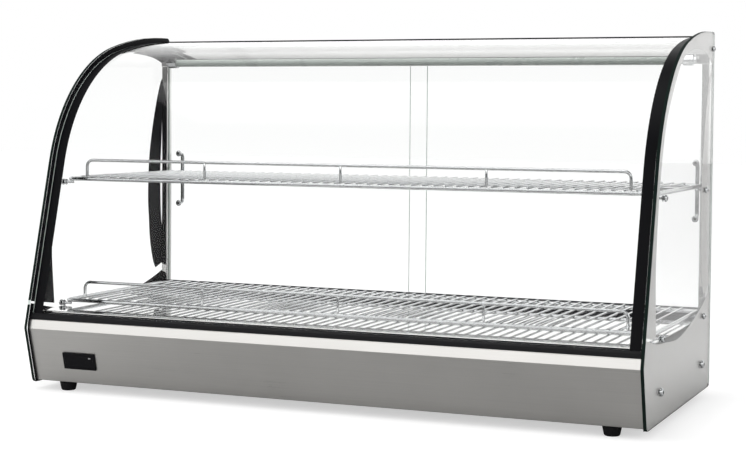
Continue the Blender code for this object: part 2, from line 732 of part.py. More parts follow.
def build_base():
    """Rear panel, floor pan, side sheets and deck of the base."""
    path = [
        (REAR_PANEL_DEPTH + REAR_TOP_FLANGE, STRIP_TOP - SHEET),
        (REAR_PANEL_DEPTH, STRIP_TOP - SHEET),
        (REAR_PANEL_DEPTH, BASE_BOTTOM),
        (REAR_PANEL_DEPTH - REAR_FOOT_FLANGE, BASE_BOTTOM),
    ]
    rear = across("base_rear_panel", sheet(path), -PANEL_X, PANEL_X, BRUSHED)
    for centre in (POWER_SWITCH_X, LIGHT_SWITCH_X):
        opening = (SWITCH_WIDTH, SHEET + OVERRUN * 2, SWITCH_OPENING_HEIGHT)
        place = (centre, depth_to_y(REAR_PANEL_DEPTH - SHEET / 2), CONTROL_HEIGHT)
        use(rear, "DIFFERENCE", block("opening", opening, place, BRUSHED))
    rounds = (
        (KNOB_X, KNOB_SHAFT),
        (INDICATOR_X, INDICATOR_THREAD),
        (GLAND_X, GLAND_THREAD),
    )
    for centre, diameter in rounds:
        place = (centre, depth_to_y(REAR_PANEL_DEPTH - SHEET / 2), CONTROL_HEIGHT)
        use(rear, "DIFFERENCE", drill(diameter + HOLE_CLEARANCE * 2, place))

    pan_low = BASE_BOTTOM + SHEET + GAP
    pan_front = SKIRT_FOOT_DEPTH + BEND * 2 + SHEET
    pan_rear = REAR_PANEL_DEPTH - BEND * 2 - SHEET
    pan = (PANEL_X * 2, pan_rear - pan_front, SHEET)
    pan_place = (0, depth_to_y((pan_front + pan_rear) / 2), pan_low + SHEET / 2)
    block("base_pan", pan, pan_place, BRUSHED)

    low = pan_low + SHEET + GAP
    high = STRIP_TOP - SHEET - GAP
    setback = SHEET + BEND + GAP
    foot = skirt_point((low - BASE_BOTTOM) / SKIRT_DIRECTION.y, -setback)
    brow = skirt_point((BROW_HEIGHT - BASE_BOTTOM) / SKIRT_DIRECTION.y, -setback)
    outline = [
        Vector((foot.x, low)),
        Vector((brow.x, BROW_HEIGHT)),
        Vector((STRIP_TOP_DEPTH + setback * 2, high)),
        Vector((pan_rear, high)),
        Vector((pan_rear, low)),
    ]
    holes = []
    for depth in (BASE_SCREW_FRONT, BASE_SCREW_REAR):
        holes.append(ring(depth, BASE_SCREW_HEIGHT, SCREW_SHANK + HOLE_CLEARANCE * 2))
    across("base_side_left", outline, -PANEL_X, -PANEL_X + SHEET, BRUSHED, holes)
    across("base_side_right", outline, PANEL_X - SHEET, PANEL_X, BRUSHED, holes)

    deck_rear = REAR_PANEL_DEPTH + REAR_TOP_FLANGE
    path = [
        (DECK_FRONT, STRIP_TOP + GAP),
        (DECK_FRONT, DECK_TOP),
        (deck_rear, DECK_TOP),
        (deck_rear, STRIP_TOP + GAP),
    ]
    half = INNER_X - DECK_SIDE_GAP
    across("deck_plate", sheet(path), -half, half, POLISHED)


def drill(diameter, place):
    """A cutter for a round hole through the rear panel, along Y."""
    bpy.ops.mesh.primitive_cylinder_add(
        vertices=HOLE_SIDES,
        radius=diameter / 2,
        depth=SHEET + OVERRUN * 2,
        location=place,
        rotation=(math.radians(90), 0, 0),
    )
    return bpy.context.object


def build_screws():
    """Screws through the side glasses into the base and the top rail."""
    places = (
        ("base_screw", "front", BASE_SCREW_FRONT, BASE_SCREW_HEIGHT, BASE_SCREW_HEAD),
        ("base_screw", "rear", BASE_SCREW_REAR, BASE_SCREW_HEIGHT, BASE_SCREW_HEAD),
        ("top_screw", "rear", TOP_SCREW_DEPTH, rail_top() - TOP_SCREW_DROP, TOP_SCREW_HEAD),
    )
    for side_name, side in (("left", -1), ("right", 1)):
        for kind, end, depth, height, head in places:
            proud = BASE_SCREW_HEAD_HEIGHT if kind == "base_screw" else TOP_SCREW_HEAD_HEIGHT
            profile = [
                (0, GAP + proud),
                (head * HEAD_TOP_SHARE, GAP + proud),
                (head * HEAD_BEVEL_SHARE, GAP + proud * HEAD_SHOULDER_SHARE),
                (head / 2, GAP + proud * HEAD_RIM_SHARE),
                (head / 2, GAP),
                (SCREW_SHANK / 2, GAP),
                (SCREW_SHANK / 2, -SIDE_GLASS - SCREW_TAIL),
                (0, -SIDE_GLASS - SCREW_TAIL),
            ]
            name = "_".join((side_name, kind, end))
            place = (side * CASE_WIDTH / 2, depth_to_y(depth), height)
            smooth_turned(turned(name, profile, place, (side, 0, 0), CHROME, STUD_SIDES))


def smooth_turned(item):
    """Shade the faces that the Screw modifier makes smooth."""
    item.modifiers["Turned"].use_smooth_shade = True
    return item


def build_studs():
    """Shelf studs: an outer head, a shank through the glass, a washer and the shelf's pin."""
    names = ("upper_shelf_stud", "front"), ("upper_shelf_stud", "rear")
    names += ("lower_shelf_stud", "front"), ("lower_shelf_stud", "rear")
    for side_name, side in (("left", -1), ("right", 1)):
        for (kind, end), (depth, height) in zip(names, stud_places()):
            inside = -SIDE_GLASS - GAP
            profile = [
                (0, GAP + STUD_HEAD_HEIGHT),
                (STUD_HEAD * HEAD_TOP_SHARE, GAP + STUD_HEAD_HEIGHT),
                (STUD_HEAD / 2, GAP + STUD_HEAD_HEIGHT * HEAD_SHOULDER_SHARE),
                (STUD_HEAD / 2, GAP),
                (STUD_SHANK / 2, GAP),
                (STUD_SHANK / 2, inside),
                (STUD_WASHER / 2, inside),
                (STUD_WASHER / 2, inside - STUD_WASHER_THICKNESS),
                (STUD_PIN / 2, inside - STUD_WASHER_THICKNESS),
                (STUD_PIN / 2, inside - STUD_REACH),
                (0, inside - STUD_REACH),
            ]
            name = "_".join((side_name, kind, end))
            place = (side * CASE_WIDTH / 2, depth_to_y(depth), height)
            smooth_turned(turned(name, profile, place, (side, 0, 0), CHROME, STUD_SIDES))


def frame_height(stud_height):
    """Height of the centre of a shelf's frame rod, which rests on the studs' pins."""
    return stud_height + STUD_PIN / 2 + GAP + FRAME_ROD / 2


def build_shelf(name, stud_height, front_stud, rear_stud):
    """A wire shelf: a bent frame rod, a stringer across it and cross wires welded on top."""
    height = frame_height(stud_height)
    half = SHELF_X
    low = depth_to_y(front_stud - ROD_BEFORE_STUD)
    high = depth_to_y(rear_stud + ROD_BEHIND_STUD)
    corners = [(-half, low), (half, low), (half, high), (-half, high)]
    plan = rounded([(x, y, FRAME_CORNER) for x, y in corners])
    loop = [(point.x, point.y, height) for point in plan]
    shelf = rod(name, loop, FRAME_ROD, CHROME, closed=True)

    middle = low + (high - low) * STRINGER_SHARE
    level = height + (FRAME_ROD - STRINGER_ROD) / 2
    ends = [(-half, middle, level), (half, middle, level)]
    use(shelf, "UNION", rod("stringer", ends, STRINGER_ROD, CHROME))

    wire_length = high - low + FRAME_ROD - SHELF_WIRE
    bpy.ops.mesh.primitive_cylinder_add(vertices=WIRE_SIDES, radius=SHELF_WIRE / 2, depth=wire_length)
    wires = bpy.context.object
    wires.data.transform(Matrix.Rotation(math.pi / WIRE_SIDES, 4, "Z"))
    wires.data.transform(Matrix.Rotation(math.radians(90), 4, "X"))
    first = WIRE_PITCH / 2 - WIRE_PITCH * WIRES_EACH_SIDE
    crown = height + FRAME_ROD / 2 + SHELF_WIRE / 2 - WELD_SINK
    wires.location = (first, (low + high) / 2, crown)
    row = wires.modifiers.new("Row of wires", "ARRAY")
    row.count = WIRES_EACH_SIDE * 2
    row.use_relative_offset = False
    row.use_constant_offset = True
    row.constant_offset_displace = (WIRE_PITCH, 0, 0)
    use(shelf, "UNION", wires)


def build_guard_rail(name, stud_height, front_stud):
    """The low rail along a shelf's front edge: a bent rod on the frame, and three posts.

    Its posts stand midway between cross wires, at whole numbers of pitches.
    """
    foot = frame_height(stud_height) + FRAME_ROD / 2 + GAP
    top = frame_height(stud_height) + GUARD_HEIGHT
    end_pitches = WIRES_EACH_SIDE - 1
    half = WIRE_PITCH * end_pitches
    y = depth_to_y(front_stud - ROD_BEFORE_STUD)
    corners = [(-half, foot, 0), (-half, top, GUARD_CORNER), (half, top, GUARD_CORNER), (half, foot, 0)]
    line = [(point.x, y, point.y) for point in rounded(corners, closed=False)]
    rail = rod(name, line, GUARD_ROD, CHROME)
    spacing = WIRE_PITCH * round(end_pitches * GUARD_POST_SHARE)
    bpy.ops.mesh.primitive_cylinder_add(vertices=POST_SIDES, radius=GUARD_POST / 2, depth=top - foot)
    posts = bpy.context.object
    posts.location = (-spacing, y, (foot + top) / 2)
    row = posts.modifiers.new("Row of posts", "ARRAY")
    row.count = 3
    row.use_relative_offset = False
    row.use_constant_offset = True
    row.constant_offset_displace = (spacing, 0, 0)
    use(rail, "UNION", posts)


def comb(walls, plate_low, plate_high, wall_end):
    """Section of a door track: a plate with upright walls, each given as (front, rear)."""
    outline = [Vector((walls[0][0], plate_low)), Vector((walls[-1][1], plate_low))]
    for index in range(len(walls) - 1, -1, -1):
        front, rear = walls[index]
        if index < len(walls) - 1:
            outline.append(Vector((rear, plate_high)))
        outline.append(Vector((rear, wall_end)))
        outline.append(Vector((front, wall_end)))
        if index > 0:
            outline.append(Vector((front, plate_high)))
    return outline


def track_walls():
    """Front and rear depth of each wall beside the two doors."""
    walls = []
    for door in (INNER_DOOR, OUTER_DOOR):
        front = door - TRACK_CLEARANCE
        rear = door + DOOR_GLASS + TRACK_CLEARANCE
        walls.append((front - TRACK_WALL, front))
        walls.append((rear, rear + TRACK_WALL))
    return walls


def door_bottom():
    """Height of the doors' lower edge, on the floor of the lower track."""
    return DECK_TOP + GAP + TRACK_PLATE + GAP


def door_top():
    """Height of the doors' upper edge, with room above it to lift a door out."""
    return rail_top() - SHEET - GAP - TRACK_PLATE - DOOR_LIFT


def rail_top():
    """Height of the top rail's upper face, under the level end of the front glass."""
    return roof_height(FRONT_INSET + FRONT_GLASS) - GAP


def rail_bottom():
    """Height of the top rail's lower edge, which rests on the posts."""
    return rail_top() - RAIL_HEIGHT


def build_rear_frame():
    """Posts, top rail and the two door tracks."""
    face = INNER_X - POST_FACE
    post_low = DECK_TOP + GAP
    post_high = rail_bottom() - GAP
    for name, side in (("left_rear_post", -1), ("right_rear_post", 1)):
        path = [
            (PANEL_X, SIDE_DEPTH - GAP * 2),
            (PANEL_X, RAIL_FRONT),
            (face, RAIL_FRONT),
            (face, RAIL_FRONT + POST_DEPTH),
            (PANEL_X - SHEET - POST_SLOT, RAIL_FRONT + POST_DEPTH),
        ]
        path = [(side * x, depth) for x, depth in path]
        section = sheet(path, SHEET * side)
        upright(name, section, post_low, post_high, POLISHED)

    top = rail_top()
    lip = SIDE_DEPTH - GAP * 2
    path = [
        (RAIL_FRONT + RAIL_HEM, rail_bottom()),
        (RAIL_FRONT, rail_bottom()),
        (RAIL_FRONT, rail_bottom() + RAIL_FOLD),
        (RAIL_FRONT + RAIL_LEAN, top),
        (lip, top),
        (lip, top - RAIL_REAR_LIP),
    ]
    rail = across("top_rail", sheet(path), -PANEL_X, PANEL_X, POLISHED)
    plate_front = RAIL_FRONT + SHEET / 2
    plate_rear = lip - SHEET / 2
    plate_low = top - RAIL_REAR_LIP + BEND
    plate = (RAIL_END_PLATE, plate_rear - plate_front, top - SHEET / 2 - plate_low)
    for side in (-1, 1):
        place = (
            side * (PANEL_X - RAIL_END_PLATE / 2),
            depth_to_y((plate_front + plate_rear) / 2),
            plate_low + plate[2] / 2,
        )
        use(rail, "UNION", block("end_plate", plate, place, POLISHED))
    bpy.ops.mesh.primitive_cylinder_add(
        vertices=HOLE_SIDES,
        radius=SCREW_SHANK / 2 + HOLE_CLEARANCE,
        depth=CASE_WIDTH + OVERRUN,
        location=(0, depth_to_y(TOP_SCREW_DEPTH), top - TOP_SCREW_DROP),
        rotation=(0, math.radians(90), 0),
    )
    use(rail, "DIFFERENCE", bpy.context.object)

    walls = track_walls()
    plate_top = top - SHEET - GAP
    section = comb(walls, plate_top, plate_top - TRACK_PLATE, plate_top - UPPER_TRACK_HEIGHT)
    half = INNER_X - SCREW_TAIL - GAP
    across("upper_door_track", section, -half, half, ALUMINIUM)
    floor = DECK_TOP + GAP
    section = comb(walls, floor, floor + TRACK_PLATE, floor + LOWER_TRACK_HEIGHT)
    across("lower_door_track", section, -face + GAP, face - GAP, ALUMINIUM)


def build_doors():
    """Two glass doors that pass each other, each with a bow handle through the glass."""
    outer_edge = INNER_X - POST_FACE - DOOR_EDGE_GAP
    low = door_bottom()
    high = door_top()
    doors = (
        ("left", -outer_edge, DOOR_OVERLAP / 2, INNER_DOOR, -outer_edge + INNER_HANDLE_INSET),
        ("right", -DOOR_OVERLAP / 2, outer_edge, OUTER_DOOR, outer_edge - OUTER_HANDLE_INSET),
    )
    for side, left_edge, right_edge, plane, handle_x in doors:
        width = right_edge - left_edge
        centre = (left_edge + right_edge) / 2
        outline = rounded([
            (-width / 2, low, DOOR_CORNER),
            (width / 2, low, DOOR_CORNER),
            (width / 2, high, DOOR_CORNER),
            (-width / 2, high, DOOR_CORNER),
        ])
        hole = HANDLE_SHANK + HANDLE_HOLE_CLEARANCE * 2
        middle = low + (high - low) * HANDLE_LEVEL_SHARE
        heights = (middle - HANDLE_SPACING / 2, middle + HANDLE_SPACING / 2)
        holes = [ring(handle_x - centre, height, hole) for height in heights]
        door = flat(side + "_sliding_door", outline, DOOR_GLASS, GLASS, holes)
        door.rotation_euler = (math.radians(90), 0, 0)
        door.location = (centre, depth_to_y(plane + DOOR_GLASS / 2), 0)
        build_handle(side + "_door_handle", handle_x, plane + DOOR_GLASS, heights)


def build_handle(name, x, glass_rear, heights):
    """A bow handle of flat bar, with its shanks and the round heads inside the case."""
    outer = glass_rear + HANDLE_REACH
    foot = glass_rear + GAP
    low = heights[0] - HANDLE_WIDTH / 2
    high = heights[1] + HANDLE_WIDTH / 2
    inner = outer - HANDLE_THICKNESS
    inside_corner = HANDLE_CORNER - HANDLE_THICKNESS
    outline = rounded([
        (foot, low, 0),
        (outer, low, HANDLE_CORNER),
        (outer, high, HANDLE_CORNER),
        (foot, high, 0),
        (foot, high - HANDLE_WIDTH, 0),
        (inner, high - HANDLE_WIDTH, inside_corner),
        (inner, low + HANDLE_WIDTH, inside_corner),
        (foot, low + HANDLE_WIDTH, 0),
    ])
    half = HANDLE_WIDTH / 2
    handle = across(name, outline, x - half, x + half, CHROME)
    smooth(handle)
    for height in heights:
        head_face = DOOR_GLASS + GAP
        profile = [
            (0, head_face + HANDLE_HEAD_HEIGHT),
            (HANDLE_HEAD * HEAD_TOP_SHARE, head_face + HANDLE_HEAD_HEIGHT),
            (HANDLE_HEAD / 2, head_face + HANDLE_HEAD_HEIGHT * HEAD_SHOULDER_SHARE),
            (HANDLE_HEAD / 2, head_face),
            (HANDLE_SHANK / 2, head_face),
            (HANDLE_SHANK / 2, -HANDLE_THICKNESS),
            (0, -HANDLE_THICKNESS),
        ]
        place = (x, depth_to_y(glass_rear), height)
        shank = turned("shank", profile, place, (0, -1, 0), CHROME, HOLE_SIDES)
        use(handle, "UNION", smooth_turned(shank))


def build_lamp():
    """The lamp tube under the roof and the two holders that carry it on the top rail."""
    depth = RAIL_FRONT - GAP - HOLDER_DIAMETER / 2
    lamp_height = rail_bottom() + LAMP_RISE
    y = depth_to_y(depth)
    outer_x = INNER_X - HOLDER_SIDE_GAP
    inner_x = outer_x - HOLDER_LENGTH
    bore = LAMP_TUBE + GAP * 2
    rim = HOLDER_DIAMETER / 2
    profile = [
        (0, 0),
        (HOLDER_NECK / 2, 0),
        (HOLDER_NECK / 2, -HOLDER_NECK_LENGTH),
        (rim, -HOLDER_NECK_LENGTH),
        (rim, -HOLDER_LENGTH),
        (bore / 2, -HOLDER_LENGTH),
        (bore / 2, -HOLDER_LENGTH + HOLDER_SOCKET),
        (0, -HOLDER_LENGTH + HOLDER_SOCKET),
    ]
    for name, side in (("left_lamp_holder", -1), ("right_lamp_holder", 1)):
        place = (side * outer_x, y, lamp_height)
        smooth_turned(turned(name, profile, place, (side, 0, 0), CHROME))
    half = inner_x + HOLDER_SOCKET - GAP
    ends = [(-half, y, lamp_height), (half, y, lamp_height)]
    rod("lamp_tube", ends, LAMP_TUBE, DIFFUSER, sides=HOLE_SIDES)


def build_switch(name, x):
    """A rocker switch: its snap-in frame in the rear panel and the rocker that tilts in it."""
    inside_width = SWITCH_WIDTH - SWITCH_WALL * 2
    inside_height = SWITCH_OPENING_HEIGHT - SWITCH_WALL * 2
    face = REAR_PANEL_DEPTH
    rim = (
        SWITCH_WIDTH + SWITCH_RIM * 2,
        SWITCH_RIM_PROUD,
        SWITCH_OPENING_HEIGHT + SWITCH_RIM * 2,
    )
    rim_place = (x, depth_to_y(face + GAP + SWITCH_RIM_PROUD / 2), CONTROL_HEIGHT)
    frame = block(name + "_switch_frame", rim, rim_place, BLACK_PLASTIC)
    body = (SWITCH_WIDTH - GAP * 2, SWITCH_BODY_DEPTH, SWITCH_OPENING_HEIGHT - GAP * 2)
    body_rear = face + GAP + SWITCH_RIM_PROUD / 2
    body_place = (x, depth_to_y(body_rear - SWITCH_BODY_DEPTH / 2), CONTROL_HEIGHT)
    use(frame, "UNION", block("body", body, body_place, BLACK_PLASTIC))
    cavity_floor = body_rear - SWITCH_BODY_DEPTH + SWITCH_WALL
    cavity = (
        inside_width,
        face + GAP + SWITCH_RIM_PROUD + OVERRUN - cavity_floor,
        inside_height,
    )
    cavity_place = (x, depth_to_y(cavity_floor + cavity[1] / 2), CONTROL_HEIGHT)
    use(frame, "DIFFERENCE", block("cavity", cavity, cavity_place, BLACK_PLASTIC))

    pivot = face + GAP + SWITCH_RIM_PROUD - ROCKER_SINK
    radius = inside_height / 2 - ROCKER_CLEARANCE
    outline = []
    steps = HOLE_SIDES
    for step in range(steps + 1):
        angle = ROCKER_SPREAD + 2 * (math.pi - ROCKER_SPREAD) * step / steps
        outline.append(Vector((radius * math.cos(angle), radius * math.sin(angle))))
    outline.append(Vector((outline[0].x - ROCKER_DISH, 0)))
    for point in outline:
        point.rotate(Matrix.Rotation(ROCKER_TILT, 2))
    width = inside_width - ROCKER_CLEARANCE * 2
    rocker = across(name + "_rocker", outline, -width / 2, width / 2, BLACK_PLASTIC)
    rocker.location = (x, depth_to_y(pivot), CONTROL_HEIGHT)


def build_controls():
    """What the rear panel carries: switches, indicator, thermostat with its knob, and gland."""
    build_switch("power", POWER_SWITCH_X)
    build_switch("light", LIGHT_SWITCH_X)
    face = depth_to_y(REAR_PANEL_DEPTH)

    profile = [
        (0, GAP + INDICATOR_PROUD),
        (INDICATOR_DIAMETER * HEAD_TOP_SHARE, GAP + INDICATOR_PROUD),
        (INDICATOR_DIAMETER / 2, GAP + INDICATOR_PROUD * HEAD_RIM_SHARE),
        (INDICATOR_DIAMETER / 2, GAP),
        (INDICATOR_THREAD / 2, GAP),
        (INDICATOR_THREAD / 2, -INDICATOR_TAIL),
        (0, -INDICATOR_TAIL),
    ]
    place = (INDICATOR_X, face, CONTROL_HEIGHT)
    smooth_turned(turned("indicator_lamp", profile, place, (0, 1, 0), RED_LENS))

    profile = [
        (GLAND_BORE / 2, GAP + GLAND_PROUD),
        (GLAND_BORE / 2 + GLAND_LIP, GAP + GLAND_PROUD),
        (GLAND_DIAMETER / 2, GAP + GLAND_PROUD * HEAD_RIM_SHARE),
        (GLAND_DIAMETER / 2, GAP),
        (GLAND_THREAD / 2, GAP),
        (GLAND_THREAD / 2, -GLAND_TAIL),
        (GLAND_BORE / 2, -GLAND_TAIL),
    ]
    place = (GLAND_X, face, CONTROL_HEIGHT)
    smooth_turned(turned("cable_gland", profile, place, (0, 1, 0), RUBBER, bored=True))

    centre = (
        KNOB_X,
        face - SHEET - GAP - THERMOSTAT_DEPTH / 2,
        CONTROL_HEIGHT,
    )
    size = (THERMOSTAT_WIDTH, THERMOSTAT_DEPTH, THERMOSTAT_HEIGHT)
    body = block("thermostat_body", size, centre, BLACK_PLASTIC)
    fillet(body, THERMOSTAT_FILLET, 1)

    profile = [
        (0, GAP + KNOB_HEIGHT),
        (KNOB_DIAMETER * KNOB_TOP_SHARE, GAP + KNOB_HEIGHT),
        (KNOB_DIAMETER * KNOB_EDGE_SHARE, GAP + KNOB_HEIGHT * KNOB_EDGE_HEIGHT_SHARE),
        (KNOB_DIAMETER / 2, GAP + KNOB_HEIGHT * KNOB_SKIRT_SHARE),
        (KNOB_DIAMETER / 2, GAP),
        (KNOB_SHAFT / 2, GAP),
        (KNOB_SHAFT / 2, -SHEET),
        (0, -SHEET),
    ]
    place = (KNOB_X, face, CONTROL_HEIGHT)
    knob = turned("thermostat_knob", profile, place, (0, 1, 0), BLACK_PLASTIC, KNOB_SIDES)
    smooth_turned(knob)
    cheek = (KNOB_DIAMETER - KNOB_GRIP_WIDTH) / 2 + OVERRUN
    for side in (-1, 1):
        size = (cheek, KNOB_GRIP_DEPTH + OVERRUN, KNOB_DIAMETER + OVERRUN)
        spot = (
            KNOB_X + side * (KNOB_GRIP_WIDTH + cheek) / 2,
            face + GAP + KNOB_HEIGHT - KNOB_GRIP_DEPTH + size[1] / 2,
            CONTROL_HEIGHT,
        )
        use(knob, "DIFFERENCE", block("cheek", size, spot, BLACK_PLASTIC))


def build_heating():
    """Two hairpin heating elements and the thermostat's probe, held under the deck."""
    ceiling = DECK_TOP - SHEET - GAP
    level = ceiling - HEATER_ROD / 2
    front = depth_to_y(HEATER_FRONT)
    rear = depth_to_y(SIDE_DEPTH - HEATER_REAR_SETBACK)
    outer_x = INNER_X - HEATER_SIDE_INSET
    for name, side in (("left_heating_element", -1), ("right_heating_element", 1)):
        corners = [
            (side * HEATER_INNER_X, rear, 0),
            (side * outer_x, rear, HEATER_BEND),
            (side * outer_x, front, HEATER_BEND),
            (side * HEATER_INNER_X, front, 0),
        ]
        line = [(point.x, point.y, level) for point in rounded(corners, closed=False)]
        rod(name, line, HEATER_ROD, BRUSHED)
    level = ceiling - PROBE_ROD / 2
    y = front + (rear - front) * PROBE_LEVEL_SHARE
    ends = [(-PROBE_LENGTH / 2, y, level), (PROBE_LENGTH / 2, y, level)]
    rod("temperature_probe", ends, PROBE_ROD, CHROME)


def build_feet():
    """Four rubber feet under the flanges of the base."""
    height = BASE_BOTTOM - GAP
    wide = FOOT_DIAMETER / 2
    profile = [
        (0, height),
        (wide - FOOT_RIM, height),
        (wide, height - FOOT_RIM),
        (wide - FOOT_TAPER, FOOT_RIM),
        (wide - FOOT_TAPER - FOOT_RIM, 0),
        (0, 0),
    ]
    front = SKIRT_FOOT_DEPTH + FOOT_BEHIND_SKIRT
    rear = SIDE_DEPTH - FOOT_REAR_SETBACK
    for side_name, side in (("left", -1), ("right", 1)):
        for end, depth in (("front", front), ("rear", rear)):
            place = (side * (INNER_X - FOOT_SIDE_INSET), depth_to_y(depth), 0)
            name = "_".join((side_name, end, "foot"))
            smooth_turned(turned(name, profile, place, (0, 0, 1), RUBBER))


build_side_glasses()
build_front_glass()
build_front_panel()
build_display()
build_base()
build_screws()
build_studs()
build_shelf("upper_shelf", UPPER_STUD_HEIGHT, upper_stud_front(), UPPER_STUD_REAR)
build_shelf("lower_shelf", LOWER_STUD_HEIGHT, LOWER_STUD_FRONT, LOWER_STUD_REAR)
build_guard_rail("upper_guard_rail", UPPER_STUD_HEIGHT, upper_stud_front())
build_guard_rail("lower_guard_rail", LOWER_STUD_HEIGHT, LOWER_STUD_FRONT)
build_rear_frame()
build_doors()
build_lamp()
build_controls()
build_heating()
build_feet()
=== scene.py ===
# %% [markdown]
# A heated counter display case, dressed for the camera.
#
# The solids of the case are already made and measured. This file gives each of them the finish of
# the real thing, and makes the pieces whose look needs more than a plain solid: the bent front
# glass, the prints on the glass, the welded wire shelves and the turned and bent metal parts. New
# surfaces are worked out with numpy as arrays of points, and materials are built from nodes.

# %% Load the frame
import math

import bpy
import numpy as np
from mathutils import Matrix, Vector


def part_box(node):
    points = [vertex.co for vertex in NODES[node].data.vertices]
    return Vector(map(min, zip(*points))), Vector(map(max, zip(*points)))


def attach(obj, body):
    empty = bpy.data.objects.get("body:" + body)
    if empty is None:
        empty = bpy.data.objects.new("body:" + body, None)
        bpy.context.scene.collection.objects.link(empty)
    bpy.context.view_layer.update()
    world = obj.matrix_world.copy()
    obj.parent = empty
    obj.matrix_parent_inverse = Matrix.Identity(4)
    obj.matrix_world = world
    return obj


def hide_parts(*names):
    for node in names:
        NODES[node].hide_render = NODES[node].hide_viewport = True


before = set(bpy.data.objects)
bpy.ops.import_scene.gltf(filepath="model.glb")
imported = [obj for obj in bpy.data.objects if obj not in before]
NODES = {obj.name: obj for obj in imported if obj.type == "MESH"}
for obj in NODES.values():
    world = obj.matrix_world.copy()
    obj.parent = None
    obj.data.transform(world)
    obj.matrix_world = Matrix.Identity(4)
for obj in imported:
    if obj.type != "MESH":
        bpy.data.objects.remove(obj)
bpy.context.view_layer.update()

MM = 0.001

# %% [markdown]
# The camera comes first. A long lens from the front right shows the customer's side and the outer
# face of one side glass. Its place and turn were solved from the straight edges of the case. The
# small vertical shift stands for a shot that was framed a little low.

# %% Camera
IMAGE_WIDTH = 746
FOCAL_PIXELS = 1650.3
SENSOR = 36.0
AZIMUTH = math.radians(22.718)
ELEVATION = math.radians(2.504)
ROLL = math.radians(0.433)
CAMERA_PLACE = Vector((1.2227, -2.9118, 0.5391))
CAMERA_SHIFT = -0.06


def make_camera():
    """A camera whose back looks away from the case along azimuth and elevation, then rolled."""
    back = Vector((
        math.sin(AZIMUTH) * math.cos(ELEVATION),
        -math.cos(AZIMUTH) * math.cos(ELEVATION),
        math.sin(ELEVATION),
    ))
    right = Vector((0, 0, 1)).cross(back).normalized()
    up = back.cross(right)
    level = Matrix((right, up, back)).transposed()
    data = bpy.data.cameras.new("camera")
    data.sensor_width = SENSOR
    data.lens = SENSOR * FOCAL_PIXELS / IMAGE_WIDTH
    data.shift_y = CAMERA_SHIFT
    camera = bpy.data.objects.new("camera", data)
    turn = level @ Matrix.Rotation(ROLL, 3, "Z")
    camera.matrix_world = Matrix.Translation(CAMERA_PLACE) @ turn.to_4x4()
    bpy.context.scene.collection.objects.link(camera)
    bpy.context.scene.camera = camera
    return camera


camera = make_camera()
print("camera: %.1f mm lens, %.2f m away" % (camera.data.lens, CAMERA_PLACE.length))

# %% [markdown]
# Metal and glass only look right when there is something to mirror. The world is a studio: bright
# overhead and behind, darker in front, with a pale floor. What the camera sees of it directly, or
# through glass, is plain white. A ray that has already been mirrored sees the studio instead, and
# the Light Path node's Glossy Depth tells the two apart.

# %% Node helpers
FIRST_COLOUR, SECOND_COLOUR, MIXED_COLOUR = 6, 7, 2


def wire(tree, source, target):
    """Link a socket, or write a plain value, into a target socket."""
    if hasattr(source, "is_output"):
        tree.links.new(source, target)
    else:
        target.default_value = source


def node(tree, kind, **values):
    """A new shader node of a kind, with its own settings."""
    made = tree.nodes.new("ShaderNode" + kind)
    for name, value in values.items():
        setattr(made, name, value)
    return made


def maths(tree, operation, *inputs):
    """One Math node, and its output."""
    made = node(tree, "Math", operation=operation)
    for index, value in enumerate(inputs):
        wire(tree, value, made.inputs[index])
    return made.outputs[0]


def mapped(tree, value, low, high, new_low=0.0, new_high=1.0, kind="LINEAR"):
    """Carry a value from one range to another, and clamp it there."""
    made = node(tree, "MapRange", interpolation_type=kind)
    for index, number in enumerate((value, low, high, new_low, new_high)):
        wire(tree, number, made.inputs[index])
    return made.outputs[0]


def blended(tree, share, first, second):
    """A colour mixed from two, by a share."""
    made = node(tree, "Mix", data_type="RGBA")
    wire(tree, share, made.inputs["Factor"])
    wire(tree, first, made.inputs[FIRST_COLOUR])
    wire(tree, second, made.inputs[SECOND_COLOUR])
    return made.outputs[MIXED_COLOUR]


def grey(level, tint=(1.0, 1.0, 1.0)):
    """A colour of one level, with a slight tint."""
    return (level * tint[0], level * tint[1], level * tint[2], 1.0)


# %% Studio world
PANEL_LIGHT = 2.5
ZENITH_LEVEL = 0.30
FRONT_LEVEL = 0.20
REAR_LEVEL = 1.25
BELOW_LEVEL = 0.25
HORIZON_TURN = (-0.75, 0.15)
BELT_TURN = (-0.2, 0.3)
BELT_RISE = (0.10, 0.30)
BELT_FALL = (0.42, 0.66)
CEILING_FADE = (0.55, 0.90)
HORIZON_FADE = (-0.12, 0.0)


